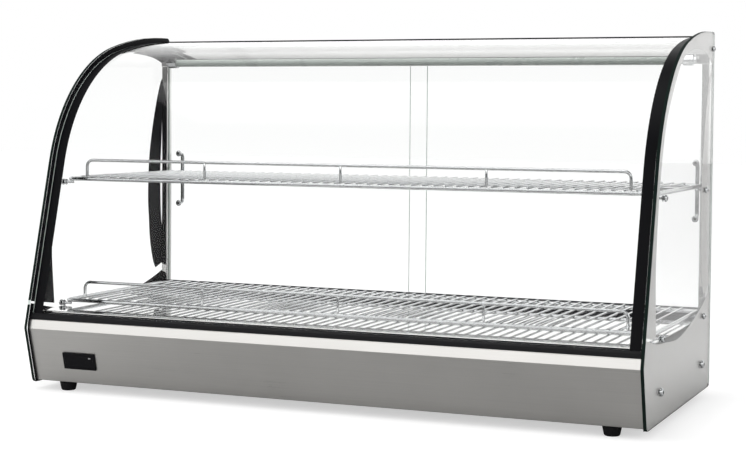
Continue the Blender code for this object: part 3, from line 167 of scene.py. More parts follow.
def make_world():
    """Brightness by direction d: a bright belt of panels in front, above a dark horizon.

    The horizon goes from the front level to the rear level with d.y. With d.z the front rises to
    the light of the panels and falls again, and everything fades to the ceiling's level.
    """
    world = bpy.data.worlds.new("studio")
    bpy.context.scene.world = world
    world.use_nodes = True
    tree = world.node_tree
    tree.nodes.clear()
    way = node(tree, "SeparateXYZ")
    wire(tree, node(tree, "TexCoord").outputs["Generated"], way.inputs[0])
    x, y, z = way.outputs
    horizon = mapped(tree, y, *HORIZON_TURN, FRONT_LEVEL, REAR_LEVEL, "SMOOTHSTEP")
    rise = mapped(tree, z, *BELT_RISE, 0.0, 1.0, "SMOOTHSTEP")
    front = mapped(tree, y, *BELT_TURN, 1.0, 0.0)
    front = maths(tree, "MULTIPLY", front, mapped(tree, z, *BELT_FALL, 1.0, 0.0))
    rise = maths(tree, "MULTIPLY", rise, front)
    panels = maths(tree, "MULTIPLY", rise, maths(tree, "SUBTRACT", PANEL_LIGHT, horizon))
    belt = maths(tree, "ADD", horizon, panels)
    ceiling = mapped(tree, z, *CEILING_FADE, 0.0, 1.0, "SMOOTHSTEP")
    over = maths(tree, "ADD", maths(tree, "MULTIPLY", belt, maths(tree, "SUBTRACT", 1.0, ceiling)),
                 maths(tree, "MULTIPLY", ceiling, ZENITH_LEVEL))
    fall = mapped(tree, z, *HORIZON_FADE)
    level = maths(tree, "ADD", maths(tree, "MULTIPLY", over, fall),
                  maths(tree, "MULTIPLY", maths(tree, "SUBTRACT", 1.0, fall), BELOW_LEVEL))
    path = node(tree, "LightPath")
    mirrored = maths(tree, "ADD", path.outputs["Glossy Depth"], path.outputs["Diffuse Depth"])
    seen = maths(tree, "LESS_THAN", mirrored, 0.5)
    studio = node(tree, "Background")
    wire(tree, level, studio.inputs["Strength"])
    plain = node(tree, "Background")
    mix = node(tree, "MixShader")
    wire(tree, seen, mix.inputs[0])
    wire(tree, studio.outputs[0], mix.inputs[1])
    wire(tree, plain.outputs[0], mix.inputs[2])
    for background in (studio, plain):
        background.inputs["Color"].default_value = grey(1.0)
    wire(tree, mix.outputs[0], node(tree, "OutputWorld").inputs[0])


    return world


print("world:", make_world().name)

# %% Floor and lamp
FLOOR_SIZE = 30.0
FLOOR_GLOW = 0.55
FLOOR_WHITE = 0.55
# Painted floor shade and light, seen only in reflections and bounced light: the levels and where they fade
# in.
FLOOR_PAINTED_SHADE = 0.44
FLOOR_PAINTED_LIGHT_LEFT = 0.60
FLOOR_PAINTED_LIGHT_REAR = 0.85
PAINTED_LIGHT_LEFT_SPAN = (-0.20, -0.80)
PAINTED_LIGHT_REAR_SPAN = (0.25, 0.80)
PAINTED_LIGHT_RIGHT_SPAN = (0.60, 0.74)


def make_floor():
    """A large plane. To the camera it glows to white and keeps the shadow.

    What metal and glass mirror of it, and what its bounced light sees, is painted light and shade:
    grey painted shade in front, paler at the left end of the case, and white behind it and to its right.
    """
    half = FLOOR_SIZE / 2
    mesh = bpy.data.meshes.new("floor")
    corners = [(-half, -half, 0), (half, -half, 0), (half, half, 0), (-half, half, 0)]
    mesh.from_pydata(corners, [], [(0, 1, 2, 3)])
    floor = bpy.data.objects.new("floor", mesh)
    bpy.context.scene.collection.objects.link(floor)
    look = bpy.data.materials.new("floor_white")
    look.use_nodes = True
    tree = look.node_tree
    tree.nodes.clear()
    path = node(tree, "LightPath")
    mirrored = maths(tree, "ADD", path.outputs["Glossy Depth"], path.outputs["Diffuse Depth"])
    seen = maths(tree, "LESS_THAN", mirrored, 0.5)
    where = node(tree, "SeparateXYZ")
    wire(tree, node(tree, "TexCoord").outputs["Object"], where.inputs[0])
    left = mapped(tree, where.outputs[0], *PAINTED_LIGHT_LEFT_SPAN, 0.0, 1.0, "SMOOTHSTEP")
    rear = mapped(tree, where.outputs[1], *PAINTED_LIGHT_REAR_SPAN)
    right = mapped(tree, where.outputs[0], *PAINTED_LIGHT_RIGHT_SPAN)
    # Painted shade and light on the floor: grey in front, paler at the left, white behind and to the right.
    sweep = blended(tree, left, grey(FLOOR_PAINTED_SHADE), grey(FLOOR_PAINTED_LIGHT_LEFT))
    sweep = blended(tree, maths(tree, "MAXIMUM", rear, right), sweep, grey(FLOOR_PAINTED_LIGHT_REAR))
    shade = node(tree, "BsdfDiffuse")
    wire(tree, blended(tree, seen, sweep, grey(FLOOR_WHITE)), shade.inputs["Color"])
    glow = node(tree, "Emission")
    glow.inputs["Color"].default_value = grey(1.0)
    wire(tree, maths(tree, "MULTIPLY", seen, FLOOR_GLOW), glow.inputs["Strength"])
    both = node(tree, "AddShader")
    wire(tree, shade.outputs[0], both.inputs[0])
    wire(tree, glow.outputs[0], both.inputs[1])
    wire(tree, both.outputs[0], node(tree, "OutputMaterial").inputs[0])
    mesh.materials.append(look)
    return floor


LAMP_WIDTH = 2.4
LAMP_DEPTH = 1.6
LAMP_PLACE = (-0.4, -0.5, 2.6)
LAMP_POWER = 34.0


def make_lamp():
    """One wide softbox overhead, so that the floor gets a soft shadow under the case."""
    data = bpy.data.lights.new("overhead_softbox", "AREA")
    data.shape = "RECTANGLE"
    data.size = LAMP_WIDTH
    data.size_y = LAMP_DEPTH
    data.energy = LAMP_POWER
    lamp = bpy.data.objects.new("overhead_softbox", data)
    lamp.location = LAMP_PLACE
    bpy.context.scene.collection.objects.link(lamp)
    return lamp


floor = make_floor()
lamp = make_lamp()
bpy.context.scene.view_settings.view_transform = "Standard"
print("studio: floor, world and", lamp.name)

# %% [markdown]
# Finishes. Each one starts from a Principled shader and gets its grain, smudges and small bumps
# from noise that reads the piece's own Object coordinates, so nothing slides when a door moves.

# %% Material helpers
def new_material(name):
    """An empty node material with a Principled shader, and that shader."""
    made = bpy.data.materials.new(name)
    made.use_nodes = True
    return made, made.node_tree, made.node_tree.nodes["Principled BSDF"]


def place_on_piece(tree, scale=(1, 1, 1)):
    """Object coordinates, stretched by a scale on each axis."""
    stretch = node(tree, "Mapping")
    stretch.inputs["Scale"].default_value = scale
    wire(tree, node(tree, "TexCoord").outputs["Object"], stretch.inputs[0])
    return stretch.outputs[0]


def noise(tree, scale, stretch=(1, 1, 1), detail=3.0, rough=0.5):
    """Noise from 0 to 1, at a scale in cycles a metre, stretched on each axis."""
    made = node(tree, "TexNoise")
    wire(tree, place_on_piece(tree, stretch), made.inputs["Vector"])
    made.inputs["Scale"].default_value = scale
    made.inputs["Detail"].default_value = detail
    made.inputs["Roughness"].default_value = rough
    return made.outputs[0]


def bumped(tree, shader, height, depth, strength=1.0):
    """Tilt a shader's normal by a height map, whose full range is a depth in metres."""
    made = node(tree, "Bump")
    made.inputs["Distance"].default_value = depth
    made.inputs["Strength"].default_value = strength
    wire(tree, height, made.inputs["Height"])
    wire(tree, made.outputs[0], shader.inputs["Normal"])


def metal(name, colour, rough, grain=None, smudge=0.05, wave=0.0, shade=0.05):
    """Bare metal: a grain that is long on one axis, faint smudges, and slow waves of the sheet."""
    made, tree, shader = new_material(name)
    shader.inputs["Metallic"].default_value = 1.0
    cloud = noise(tree, 9.0, detail=4.0)
    if grain is None:
        lines = noise(tree, 260.0, detail=2.0)
    else:
        lines = noise(tree, 1.0, grain, detail=4.0, rough=0.65)
    tone = maths(tree, "ADD", maths(tree, "MULTIPLY", lines, 0.6), maths(tree, "MULTIPLY", cloud, 0.4))
    dark = tuple(part * (1 - shade) for part in colour)
    light = tuple(min(1.0, part * (1 + shade)) for part in colour)
    spread = mapped(tree, tone, 0.3, 0.7)
    wire(tree, blended(tree, spread, (*dark, 1), (*light, 1)), shader.inputs["Base Color"])
    wire(tree, mapped(tree, tone, 0.3, 0.7, rough - smudge / 2, rough + smudge), shader.inputs["Roughness"])
    if wave > 0:
        bumped(tree, shader, noise(tree, 4.0, detail=1.0), wave)
    elif grain is not None:
        bumped(tree, shader, lines, 0.02 * MM)
    return made


def paintlike(name, colour, rough, texture=120.0, depth=0.05 * MM, shade=0.12, coat=0.0, specular=0.5):
    """Plastic, rubber, print or paint: a slightly uneven colour over a fine texture."""
    made, tree, shader = new_material(name)
    cloud = noise(tree, 30.0, detail=3.0)
    fine = noise(tree, texture, detail=2.0)
    dark = tuple(part * (1 - shade) for part in colour)
    light = tuple(min(1.0, part * (1 + shade)) for part in colour)
    wire(tree, blended(tree, cloud, (*dark, 1), (*light, 1)), shader.inputs["Base Color"])
    wire(tree, mapped(tree, cloud, 0.25, 0.75, rough - 0.04, rough + 0.05), shader.inputs["Roughness"])
    shader.inputs["Coat Weight"].default_value = coat
    shader.inputs["Specular IOR Level"].default_value = specular
    bumped(tree, shader, fine, depth)
    return made


# %% Metals
LONG_GRAIN = (4.0, 900.0, 900.0)
BRUSHED = metal("brushed_steel", (0.50, 0.492, 0.475), 0.30, LONG_GRAIN, smudge=0.08, shade=0.07)
MILL = metal("mill_finish_steel", (0.46, 0.46, 0.455), 0.38, None, smudge=0.10, shade=0.08)
MIRROR = metal("mirror_steel", (0.66, 0.66, 0.65), 0.035, None, smudge=0.03, wave=0.5 * MM)
POLISHED = metal("polished_sheet", (0.74, 0.74, 0.73), 0.16, None, smudge=0.06, wave=0.3 * MM)
CHROME = metal("chrome_plate", (0.48, 0.49, 0.495), 0.06, None, smudge=0.05)
SATIN = metal("satin_aluminium", (0.72, 0.73, 0.73), 0.27, LONG_GRAIN, smudge=0.06)
DARK_TRACK = metal("black_anodised_track", (0.045, 0.045, 0.048), 0.34, LONG_GRAIN, smudge=0.06, shade=0.2)
HOT_ROD = metal("heated_sheath", (0.16, 0.15, 0.14), 0.42, None, smudge=0.12, shade=0.25)

# %% Rubber, plastic and paint
RUBBER = paintlike("black_rubber", (0.008, 0.008, 0.009), 0.52, 400.0, 0.05 * MM, specular=0.10)
PLASTIC = paintlike("black_plastic", (0.012, 0.012, 0.013), 0.38, 500.0, 0.04 * MM, specular=0.3)
DARK_LENS = paintlike("dark_window", (0.003, 0.003, 0.004), 0.14, 20.0, 0.01 * MM, specular=0.12)
RED_LENS = paintlike("red_window", (0.50, 0.015, 0.012), 0.16, 250.0, 0.05 * MM, coat=0.6)
TUBE_GLASS = paintlike("frosted_lamp_glass", (0.235, 0.262, 0.242), 0.28, 60.0, 0.02 * MM, shade=0.04)
# White for the knob's printed pointer, and as painted light for the display's lit segments.
WHITE_PRINT_AND_PAINTED_LIGHT = paintlike("white_print_and_painted_light", (0.75, 0.76, 0.76), 0.45, 300.0, 0.02 * MM)
BLACK_PRINT = paintlike("black_print", (0.003, 0.003, 0.004), 0.40, 90.0, 0.02 * MM, specular=0.05)
SILVER_PRINT = paintlike("silver_print", (0.37, 0.363, 0.352), 0.42, 90.0, 0.02 * MM, shade=0.03)
BEZEL = paintlike("gloss_bezel", (0.004, 0.004, 0.005), 0.30, 60.0, 0.01 * MM, specular=0.10)
# Painted shade: near-black for the inside of the hexagon sockets, where shade falls in the recess.
SOCKET_PAINTED_SHADE = paintlike("painted_shade_socket", (0.010, 0.010, 0.011), 0.55, 300.0, 0.02 * MM, specular=0.2)

# %% [markdown]
# Glass. The faces pass light. The cut edges of the doors are green, because light that enters an edge
# runs a long way inside the sheet. On the side glasses the edge colour is painted light and shade:
# dark where print lies behind the edge, and pale where light would leave the sheet. The front glass's
# edges are pale: partly the matt pale of a ground edge, partly a painted highlight. A mask made from
# the normal, or from the place on the sheet, tells faces and edges apart. Rays from lamps go straight
# through, so that what stands inside is lit.

# %% Glass
# Edge colours. The dark one is a painted reflection of print behind an edge; the pale one is painted light
# where light would leave a sheet.
EDGE_DARK = (0.006, 0.012, 0.010, 1)
EDGE_PALE_AND_PAINTED_LIGHT = (0.60, 0.66, 0.63, 1)
EDGE_ROUGH = 0.70
COATED_INDEX = 1.13
PLAIN_INDEX = 1.14
DOOR_EDGE = (0.30, 0.38, 0.34, 1)


def glass(name, edge_mask, edge_colour, index, tint=(0.996, 0.999, 0.997, 1)):
    """Clear sheet glass of an optical index. edge_mask(tree) is 1 on cut edges."""
    made, tree, shader = new_material(name)
    edge = edge_mask(tree)
    colour = edge_colour(tree) if callable(edge_colour) else edge_colour
    wire(tree, blended(tree, edge, tint, colour), shader.inputs["Base Color"])
    wire(tree, maths(tree, "SUBTRACT", 1.0, edge), shader.inputs["Transmission Weight"])
    haze = noise(tree, 3.0, detail=3.0)
    clear = mapped(tree, haze, 0.4, 0.8, 0.0, 0.012)
    rough = maths(tree, "ADD", clear, maths(tree, "MULTIPLY", edge, EDGE_ROUGH))
    wire(tree, rough, shader.inputs["Roughness"])
    shader.inputs["IOR"].default_value = index
    through = node(tree, "BsdfTransparent")
    path = node(tree, "LightPath")
    lamp_ray = maths(tree, "MULTIPLY", path.outputs["Is Shadow Ray"], maths(tree, "SUBTRACT", 1.0, edge))
    mix = node(tree, "MixShader")
    wire(tree, lamp_ray, mix.inputs[0])
    wire(tree, shader.outputs[0], mix.inputs[1])
    wire(tree, through.outputs[0], mix.inputs[2])
    wire(tree, mix.outputs[0], tree.nodes["Material Output"].inputs["Surface"])
    return made


def facing(axis, limit=0.5):
    """A mask maker: 1 where the normal lies across the given axis, as on a sheet's cut edges."""
    def mask(tree):
        split = node(tree, "SeparateXYZ")
        wire(tree, node(tree, "TexCoord").outputs["Normal"], split.inputs[0])
        return maths(tree, "LESS_THAN", maths(tree, "ABSOLUTE", split.outputs[axis]), limit)
    return mask


# %% [markdown]
# The front edge of the case is one curve: a straight line that leans back, a shoulder and a flat
# roof. The bent glass, the printed bands and the trim all follow it, so it is worked out once.

# %% Case outline
GLASS_LOW, GLASS_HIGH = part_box("right_side_glass")
PANE_LOW, PANE_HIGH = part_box("front_glass")
GASKET_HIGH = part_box("front_glass_gasket")[1]
FRONT_Y = GLASS_LOW.y
REAR_Y = GLASS_HIGH.y
INNER_X = GLASS_LOW.x
CASE_TOP = GLASS_HIGH.z
FRONT_LEAN = math.radians(14.9)
SKIRT_LEAN = math.radians(14.5)
KINK_HEIGHT = 0.122
KINK_TIP = 0.44 * MM
FRONT_STRAIGHT = 0.330
SHOULDER_RADIUS = 0.320
SHOULDER_END = math.radians(74.8)
ROOF_LEVEL = 0.021


def side_line(inset, start, count):
    """Points (y, z) up the front and over the roof, from a length start up the leaning line.

    The line is a sum of small steps (sin h, cos h) ds whose heading h, from the vertical, stays
    at the lean, then grows as s / R on the shoulder, and then as s / R on the flatter roof. The
    inset moves each point by (cos h, -sin h) into the case.
    """
    shoulder = SHOULDER_RADIUS * (SHOULDER_END - FRONT_LEAN)
    shoulder_run = SHOULDER_RADIUS * (math.cos(FRONT_LEAN) - math.cos(SHOULDER_END))
    straight_run = FRONT_STRAIGHT * math.sin(FRONT_LEAN) - KINK_TIP
    depth = REAR_Y - FRONT_Y
    roof_radius = (depth - ROOF_LEVEL - straight_run - shoulder_run) / math.cos(SHOULDER_END)
    roof = roof_radius * (math.pi / 2 - SHOULDER_END)
    total = FRONT_STRAIGHT + shoulder + roof
    s = np.linspace(0, total, 4001)
    heading = FRONT_LEAN + np.clip(s - FRONT_STRAIGHT, 0, shoulder) / SHOULDER_RADIUS
    heading = heading + np.clip(s - FRONT_STRAIGHT - shoulder, 0, roof) / roof_radius
    step = s[1] - s[0]
    middle = (heading[1:] + heading[:-1]) / 2
    y = FRONT_Y - KINK_TIP + np.concatenate(([0], np.cumsum(np.sin(middle)) * step))
    z = KINK_HEIGHT + np.concatenate(([0], np.cumsum(np.cos(middle)) * step))
    y = y + inset * np.cos(heading)
    z = z - inset * np.sin(heading)
    at = np.concatenate(([start], np.linspace(max(start, FRONT_STRAIGHT), total, count)))
    return np.stack([np.interp(at, s, y), np.interp(at, s, z)], axis=1)


outline = side_line(0, 0, 90)
tops = (outline[-1, 1] / MM, CASE_TOP / MM)
print("outline: %d points, top %.1f mm (solid %.1f mm)" % (len(outline), *tops))

# %% Mesh helpers
def piece(name, points, faces, finish, body="case", sharp=35.0):
    """A mesh object at the origin from arrays of points and faces, shaded smooth."""
    mesh = bpy.data.meshes.new(name)
    mesh.from_pydata(points.tolist(), [], faces)
    for look in finish if isinstance(finish, (list, tuple)) else (finish,):
        mesh.materials.append(look)
    mesh.shade_smooth()
    mesh.set_sharp_from_angle(angle=math.radians(sharp))
    made = bpy.data.objects.new(name, mesh)
    bpy.context.scene.collection.objects.link(made)
    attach(made, body)
    return made


def grid_faces(rows, columns, closed_rows=False, closed_columns=True, first=0):
    """Quads between neighbours of a rows by columns grid of points, numbered row by row."""
    row = np.arange(rows if closed_rows else rows - 1)
    column = np.arange(columns if closed_columns else columns - 1)
    r, c = np.meshgrid(row, column, indexing="ij")
    next_r = (r + 1) % rows
    next_c = (c + 1) % columns
    row, next_row = r * columns, next_r * columns
    quads = np.stack([row + c, row + next_c, next_row + next_c, next_row + c], -1)
    return (quads.reshape(-1, 4) + first).tolist()


def sheet_between(first, second, low_x, high_x, bevel):
    """Closed sheet between two (y, z) curves: at each step its section is a bevelled rectangle.

    The section runs from first to second in the plane of the curves, and from low_x to high_x
    across it. Its eight points cut each corner by the bevel.
    """
    way = second - first
    way = way / np.linalg.norm(way, axis=1, keepdims=True) * bevel
    near, far = low_x + bevel, high_x - bevel
    rows = [(first, near), (first, far), (first + way, high_x), (second - way, high_x),
            (second, far), (second, near), (second - way, low_x), (first + way, low_x)]
    columns = [np.column_stack([np.full(len(curve), x), curve]) for curve, x in rows]
    points = np.stack(columns, axis=1).reshape(-1, 3)
    count = len(first)
    faces = grid_faces(count, 8)
    faces.append(list(range(8))[::-1])
    faces.append(list(range((count - 1) * 8, count * 8)))
    return points, faces


def turned_out(points, faces):
    """The same faces, turned round if the closed shell that they make is inside out.

    The sign is that of the volume, the sum of a . (b x c) over its triangles (a, b, c), where a
    polygon counts as a fan of triangles round its first corner.
    """
    fan = np.array([(face[0], b, c) for face in faces for b, c in zip(face[1:-1], face[2:])])
    a, b, c = points[fan[:, 0]], points[fan[:, 1]], points[fan[:, 2]]
    volume = np.einsum("ij,ij->i", a, np.cross(b, c)).sum()
    return faces if volume > 0 else [face[::-1] for face in faces]


# %% [markdown]
# The front glass is one sheet, flat at the front and bent over the roof. A grid with many steps
# along the bend keeps its mirror image of the studio smooth, where the solid has flat facets.

# %% Bent front glass
PANE_THICKNESS = 5.5 * MM
PANE_INSET = 11.0 * MM
PANE_BEVEL = 0.5 * MM
PANE_STEPS = 140


def pane_curves(count, start_height, end_y):
    """Outer and inner curve of the front glass between a height and a depth."""
    start = (start_height - KINK_HEIGHT) / math.cos(FRONT_LEAN)
    curves = []
    for inset in (PANE_INSET, PANE_INSET + PANE_THICKNESS):
        line = side_line(inset, start, count)
        curves.append(np.vstack([line, [[end_y, line[-1, 1]]]]))
    return curves


def pane_edges(tree):
    """1 on the cut ends of the front glass and on its rear edge."""
    where = node(tree, "SeparateXYZ")
    wire(tree, node(tree, "TexCoord").outputs["Object"], where.inputs[0])
    ends = maths(tree, "GREATER_THAN", maths(tree, "ABSOLUTE", where.outputs[0]), PANE_HIGH.x - PANE_BEVEL)
    rear = maths(tree, "GREATER_THAN", where.outputs[1], PANE_HIGH.y - PANE_BEVEL / 2)
    return maths(tree, "MAXIMUM", ends, rear)


pane_foot = (PANE_LOW.z + (PANE_INSET + PANE_THICKNESS) * math.sin(FRONT_LEAN))
outer_curve, inner_curve = pane_curves(PANE_STEPS, pane_foot, PANE_HIGH.y)
pane_points, pane_faces = sheet_between(outer_curve, inner_curve, PANE_LOW.x, PANE_HIGH.x, PANE_BEVEL)
# The ends and rear edge of the front glass are pale: partly the matt pale of a ground edge, partly a painted
# highlight along them.
FRONT_PANE = glass("front_glass", pane_edges, EDGE_PALE_AND_PAINTED_LIGHT, COATED_INDEX)
pane_faces = turned_out(pane_points, pane_faces)
front_pane = piece("bent_front_glass", pane_points, pane_faces, FRONT_PANE, sharp=25)
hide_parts("front_glass")
print("front glass: %d faces along the bend" % PANE_STEPS)

# %% [markdown]
# The roof ends at the rear in a thin black trim, which closes the joint between the glass and the
# top rail. From the front it is one dark line along the top. It is a section pushed along x.

# %% Roof trim
TRIM_RISE = 3.5 * MM
TRIM_LAP = 6.0 * MM
TRIM_WALL = 3.0 * MM
TRIM_ROUND = 0.8 * MM
REST_GAP = 0.3 * MM


def extruded(section, low_x, high_x):
    """A closed outline of (y, z) points pushed along x between two ends."""
    section = np.asarray(section, float)
    rows = [np.column_stack([np.full(len(section), x), section]) for x in (low_x, high_x)]
    points = np.vstack(rows)
    count = len(section)
    faces = grid_faces(2, count) + [list(range(count))[::-1], list(range(count, 2 * count))]
    return points, turned_out(points, faces)


def trim_section():
    """An L: one arm lies on the glass, the other hangs behind its rear edge."""
    top = PANE_HIGH.z + TRIM_RISE
    lap = PANE_HIGH.y - TRIM_LAP
    rear = PANE_HIGH.y + TRIM_WALL
    foot = PANE_HIGH.z - PANE_THICKNESS
    hem = PANE_HIGH.y + REST_GAP
    return [(lap, PANE_HIGH.z), (lap, top - TRIM_ROUND), (lap + TRIM_ROUND, top),
            (rear - TRIM_ROUND, top), (rear, top - TRIM_ROUND), (rear, foot), (hem, foot),
            (hem, PANE_HIGH.z)]


trim_points, trim_faces = extruded(trim_section(), PANE_LOW.x, PANE_HIGH.x)
roof_trim = piece("roof_edge_trim", trim_points, trim_faces, RUBBER)
print("roof trim: %.1f mm above the glass" % (TRIM_RISE / MM))

# %% [markdown]
# The side glasses carry printed artwork: a band that follows the front edge, an arch under the
# roof, a crescent at the rear and a solid area over the base. The print lies on the inner face. It
# is silver towards the outside and black towards the inside, so it is a thin film with two colours.

# %% Print on the side glasses
FILM_GAP = 0.08 * MM
FILM = 0.12 * MM
PRINT_MARGIN = 0.4 * MM


def flowing(points, count):
    """A smooth curve through a few (depth, height) points: a Catmull-Rom spline in y and z.

    Between two points a and b with neighbours p and q, it is the cubic that leaves a along b - p
    and reaches b along q - a.
    """
    known = np.array(points, float)
    ends = np.vstack([2 * known[0] - known[1], known, 2 * known[-1] - known[-2]])
    t = np.linspace(0, len(known) - 1 - 1e-9, count)
    index = t.astype(int)
    f = (t - index)[:, None]
    p, a, b, q = ends[index], ends[index + 1], ends[index + 2], ends[index + 3]
    curve = a + f * ((b - p) / 2 + f * ((p - 2.5 * a + 2 * b - q / 2) + f * (1.5 * (a - b) + (q - p) / 2)))
    return curve + np.array([FRONT_Y, 0])


def evenly(curve, count):
    """The same curve with its points spaced evenly along its length."""
    length = np.concatenate(([0], np.cumsum(np.linalg.norm(np.diff(curve, axis=0), axis=1))))
    at = np.linspace(0, length[-1], count)
    return np.stack([np.interp(at, length, curve[:, 0]), np.interp(at, length, curve[:, 1])], axis=1)


BAND_INNER = [(0.0937, 0.1600), (0.0905, 0.1934), (0.0855, 0.2613), (0.0898, 0.3281), (0.1016, 0.3948),
              (0.1210, 0.4617), (0.1500, 0.5222), (0.1850, 0.5636), (0.2229, 0.5987), (0.2700, 0.6330),
              (0.3278, 0.6509), (0.3928, 0.6585), (0.4563, 0.6560), (0.4988, 0.6468), (0.5400, 0.6300)]
CRESCENT_FRONT = [(0.5290, 0.6240), (0.5048, 0.6023), (0.4837, 0.5501), (0.4663, 0.4898), (0.4550, 0.4297),
                  (0.4509, 0.3545), (0.4543, 0.3113), (0.4599, 0.2571), (0.4726, 0.2129), (0.4830, 0.1968)]
CRESCENT_REAR = [(0.5300, 0.6236), (0.5150, 0.5840), (0.5105, 0.5300), (0.5080, 0.4750), (0.5042, 0.4300),
                 (0.5034, 0.3900), (0.5045, 0.3400), (0.5080, 0.3000), (0.5180, 0.2500), (0.5380, 0.2150)]
BASE_TOP = [(0.0130, 0.1680), (0.0288, 0.1650), (0.0978, 0.1513), (0.1735, 0.1450), (0.2611, 0.1400),
            (0.3529, 0.1505), (0.4587, 0.1737), (0.5410, 0.2000)]
FILM_STEPS = 90
FOOT_STEPS = 50
BASE_ROWS = 13
PRINT_START = 0.172
CORNER_CUT = 8 * MM


def film_regions():
    """The pairs of curves between which the print lies, all as (y, z)."""
    low = GLASS_LOW.z + PRINT_MARGIN
    start = (PRINT_START - KINK_HEIGHT) / math.cos(FRONT_LEAN)
    edge = side_line(PRINT_MARGIN, start, 200)
    roof = edge[-1, 1]
    edge = np.vstack([edge, [[REAR_Y - CORNER_CUT, roof], [REAR_Y - 2 * MM, roof - 5 * MM]]])
    band = (evenly(edge, FILM_STEPS), evenly(flowing(BAND_INNER, 200), FILM_STEPS))
    crescent = (evenly(flowing(CRESCENT_FRONT, 120), 40), evenly(flowing(CRESCENT_REAR, 120), 40))
    top = evenly(flowing(BASE_TOP, 120), FOOT_STEPS)
    skirt_run = (KINK_HEIGHT - low) * math.tan(SKIRT_LEAN)
    foot_y = np.linspace(FRONT_Y + skirt_run + CORNER_CUT, REAR_Y - CORNER_CUT, FOOT_STEPS)
    return band, crescent, top, np.stack([foot_y, np.full(FOOT_STEPS, low)], axis=1)


band, crescent, base_top, base_foot = film_regions()


def base_area():
    """The solid area over the base: rows from its curved top edge down to the glass's foot.

    The front end of each row follows the glass's edge, which leans forward above the kink and
    back below it.
    """
    rows = []
    for part in np.linspace(0, 1, BASE_ROWS):
        line = base_top * (1 - part) + base_foot * part
        z = line[0, 1]
        lean = math.tan(FRONT_LEAN) if z > KINK_HEIGHT else -math.tan(SKIRT_LEAN)
        edge = FRONT_Y + (z - KINK_HEIGHT) * lean + PRINT_MARGIN * 1.3
        reach = (REAR_Y - PRINT_MARGIN - 1 * MM * part - edge) / (line[-1, 0] - line[0, 0])
        line[:, 0] = edge + (line[:, 0] - line[0, 0]) * reach
        rows.append(line)
    return np.stack(rows)


def film_block(rows, low_x, high_x):
    """A thin closed film over a grid of (y, z) points: two layers and the rim between them."""
    count_r, count_c = rows.shape[:2]
    flat = rows.reshape(-1, 2)
    layers = [np.column_stack([np.full(len(flat), x), flat]) for x in (low_x, high_x)]
    points = np.vstack(layers)
    quads = np.array(grid_faces(count_r, count_c, closed_columns=False))
    offset = len(flat)
    around = np.concatenate([np.arange(count_c), np.arange(1, count_r) * count_c + count_c - 1,
                             (count_r - 1) * count_c + np.arange(count_c - 2, -1, -1),
                             np.arange(count_r - 2, 0, -1) * count_c])
    after = np.roll(around, -1)
    rim = np.stack([around, after, after + offset, around + offset], axis=1)
    return points, [quads[:, ::-1], quads + offset, rim]


def make_side_print(name, side):
    """The film on one side glass: its outer layer is silver, and its inner layer and rim black."""
    outer = side * (INNER_X - FILM_GAP)
    inner = side * (INNER_X - FILM_GAP - FILM)
    areas = [np.stack([band[0], band[1]]), np.stack(crescent), base_area()]
    points, faces, looks = [], [], []
    start = 0
    for area in areas:
        block, (first, second, rim) = film_block(area, inner, outer)
        groups = [face.tolist() for face in (first, second, rim)]
        whole = turned_out(block, groups[0] + groups[1] + groups[2])
        faces += [[index + start for index in face] for face in whole]
        looks += [1] * len(groups[0]) + [0] * len(groups[1]) + [1] * len(groups[2])
        points.append(block)
        start += len(block)
    made = piece(name, np.vstack(points), faces, [SILVER_PRINT, BLACK_PRINT])
    made.data.polygons.foreach_set("material_index", np.array(looks, np.int32))
    return made


for name, side in (("left_glass_print", -1), ("right_glass_print", 1)):
    made = make_side_print(name, side)
    print(made.name, len(made.data.polygons), "faces")

# %% [markdown]
# The side glasses and the doors keep their measured solids. The doors' edges get a colour of their own.
# The side glasses' edges are painted: dark as a painted reflection of the print behind the edge, and
# pale as painted light where light can leave the sheet.

# %% Side glasses
# The left gap in the print, where the side glass's edge gets painted light.
PAINTED_LIGHT_GAP_LOW = 0.1655
PAINTED_LIGHT_GAP_HIGH = 0.1735


def edge_painted_light_and_shade(tree):
    """Painted edge colour: dark as a painted reflection of the print behind, pale as painted light at the
    rear and at the left gap in the print.
    """
    where = node(tree, "SeparateXYZ")
    wire(tree, node(tree, "TexCoord").outputs["Object"], where.inputs[0])
    above = maths(tree, "GREATER_THAN", where.outputs[2], PAINTED_LIGHT_GAP_LOW)
    below = maths(tree, "LESS_THAN", where.outputs[2], PAINTED_LIGHT_GAP_HIGH)
    left = maths(tree, "LESS_THAN", where.outputs[0], 0.0)
    gap = maths(tree, "MULTIPLY", left, maths(tree, "MULTIPLY", above, below))
    rear = maths(tree, "GREATER_THAN", where.outputs[1], REAR_Y - 2 * MM)
    return blended(tree, maths(tree, "MAXIMUM", gap, rear), EDGE_DARK, EDGE_PALE_AND_PAINTED_LIGHT)


SIDE_PANE = glass("side_glass", facing(0), edge_painted_light_and_shade, PLAIN_INDEX)
DOOR_PANE = glass("door_glass", facing(1), DOOR_EDGE, COATED_INDEX)
print("glass finishes:", FRONT_PANE.name, SIDE_PANE.name, DOOR_PANE.name)

# %% [markdown]
# The front glass also has a black printed band along each end, which hides the joint with the side
# glass. It follows the bend on the outer face, so it is a thin sheet between two offset curves.

# %% Bands on the front glass
END_BAND = 20.0 * MM
END_MARGIN = 2.2 * MM
BAND_RISE = 0.5 * MM


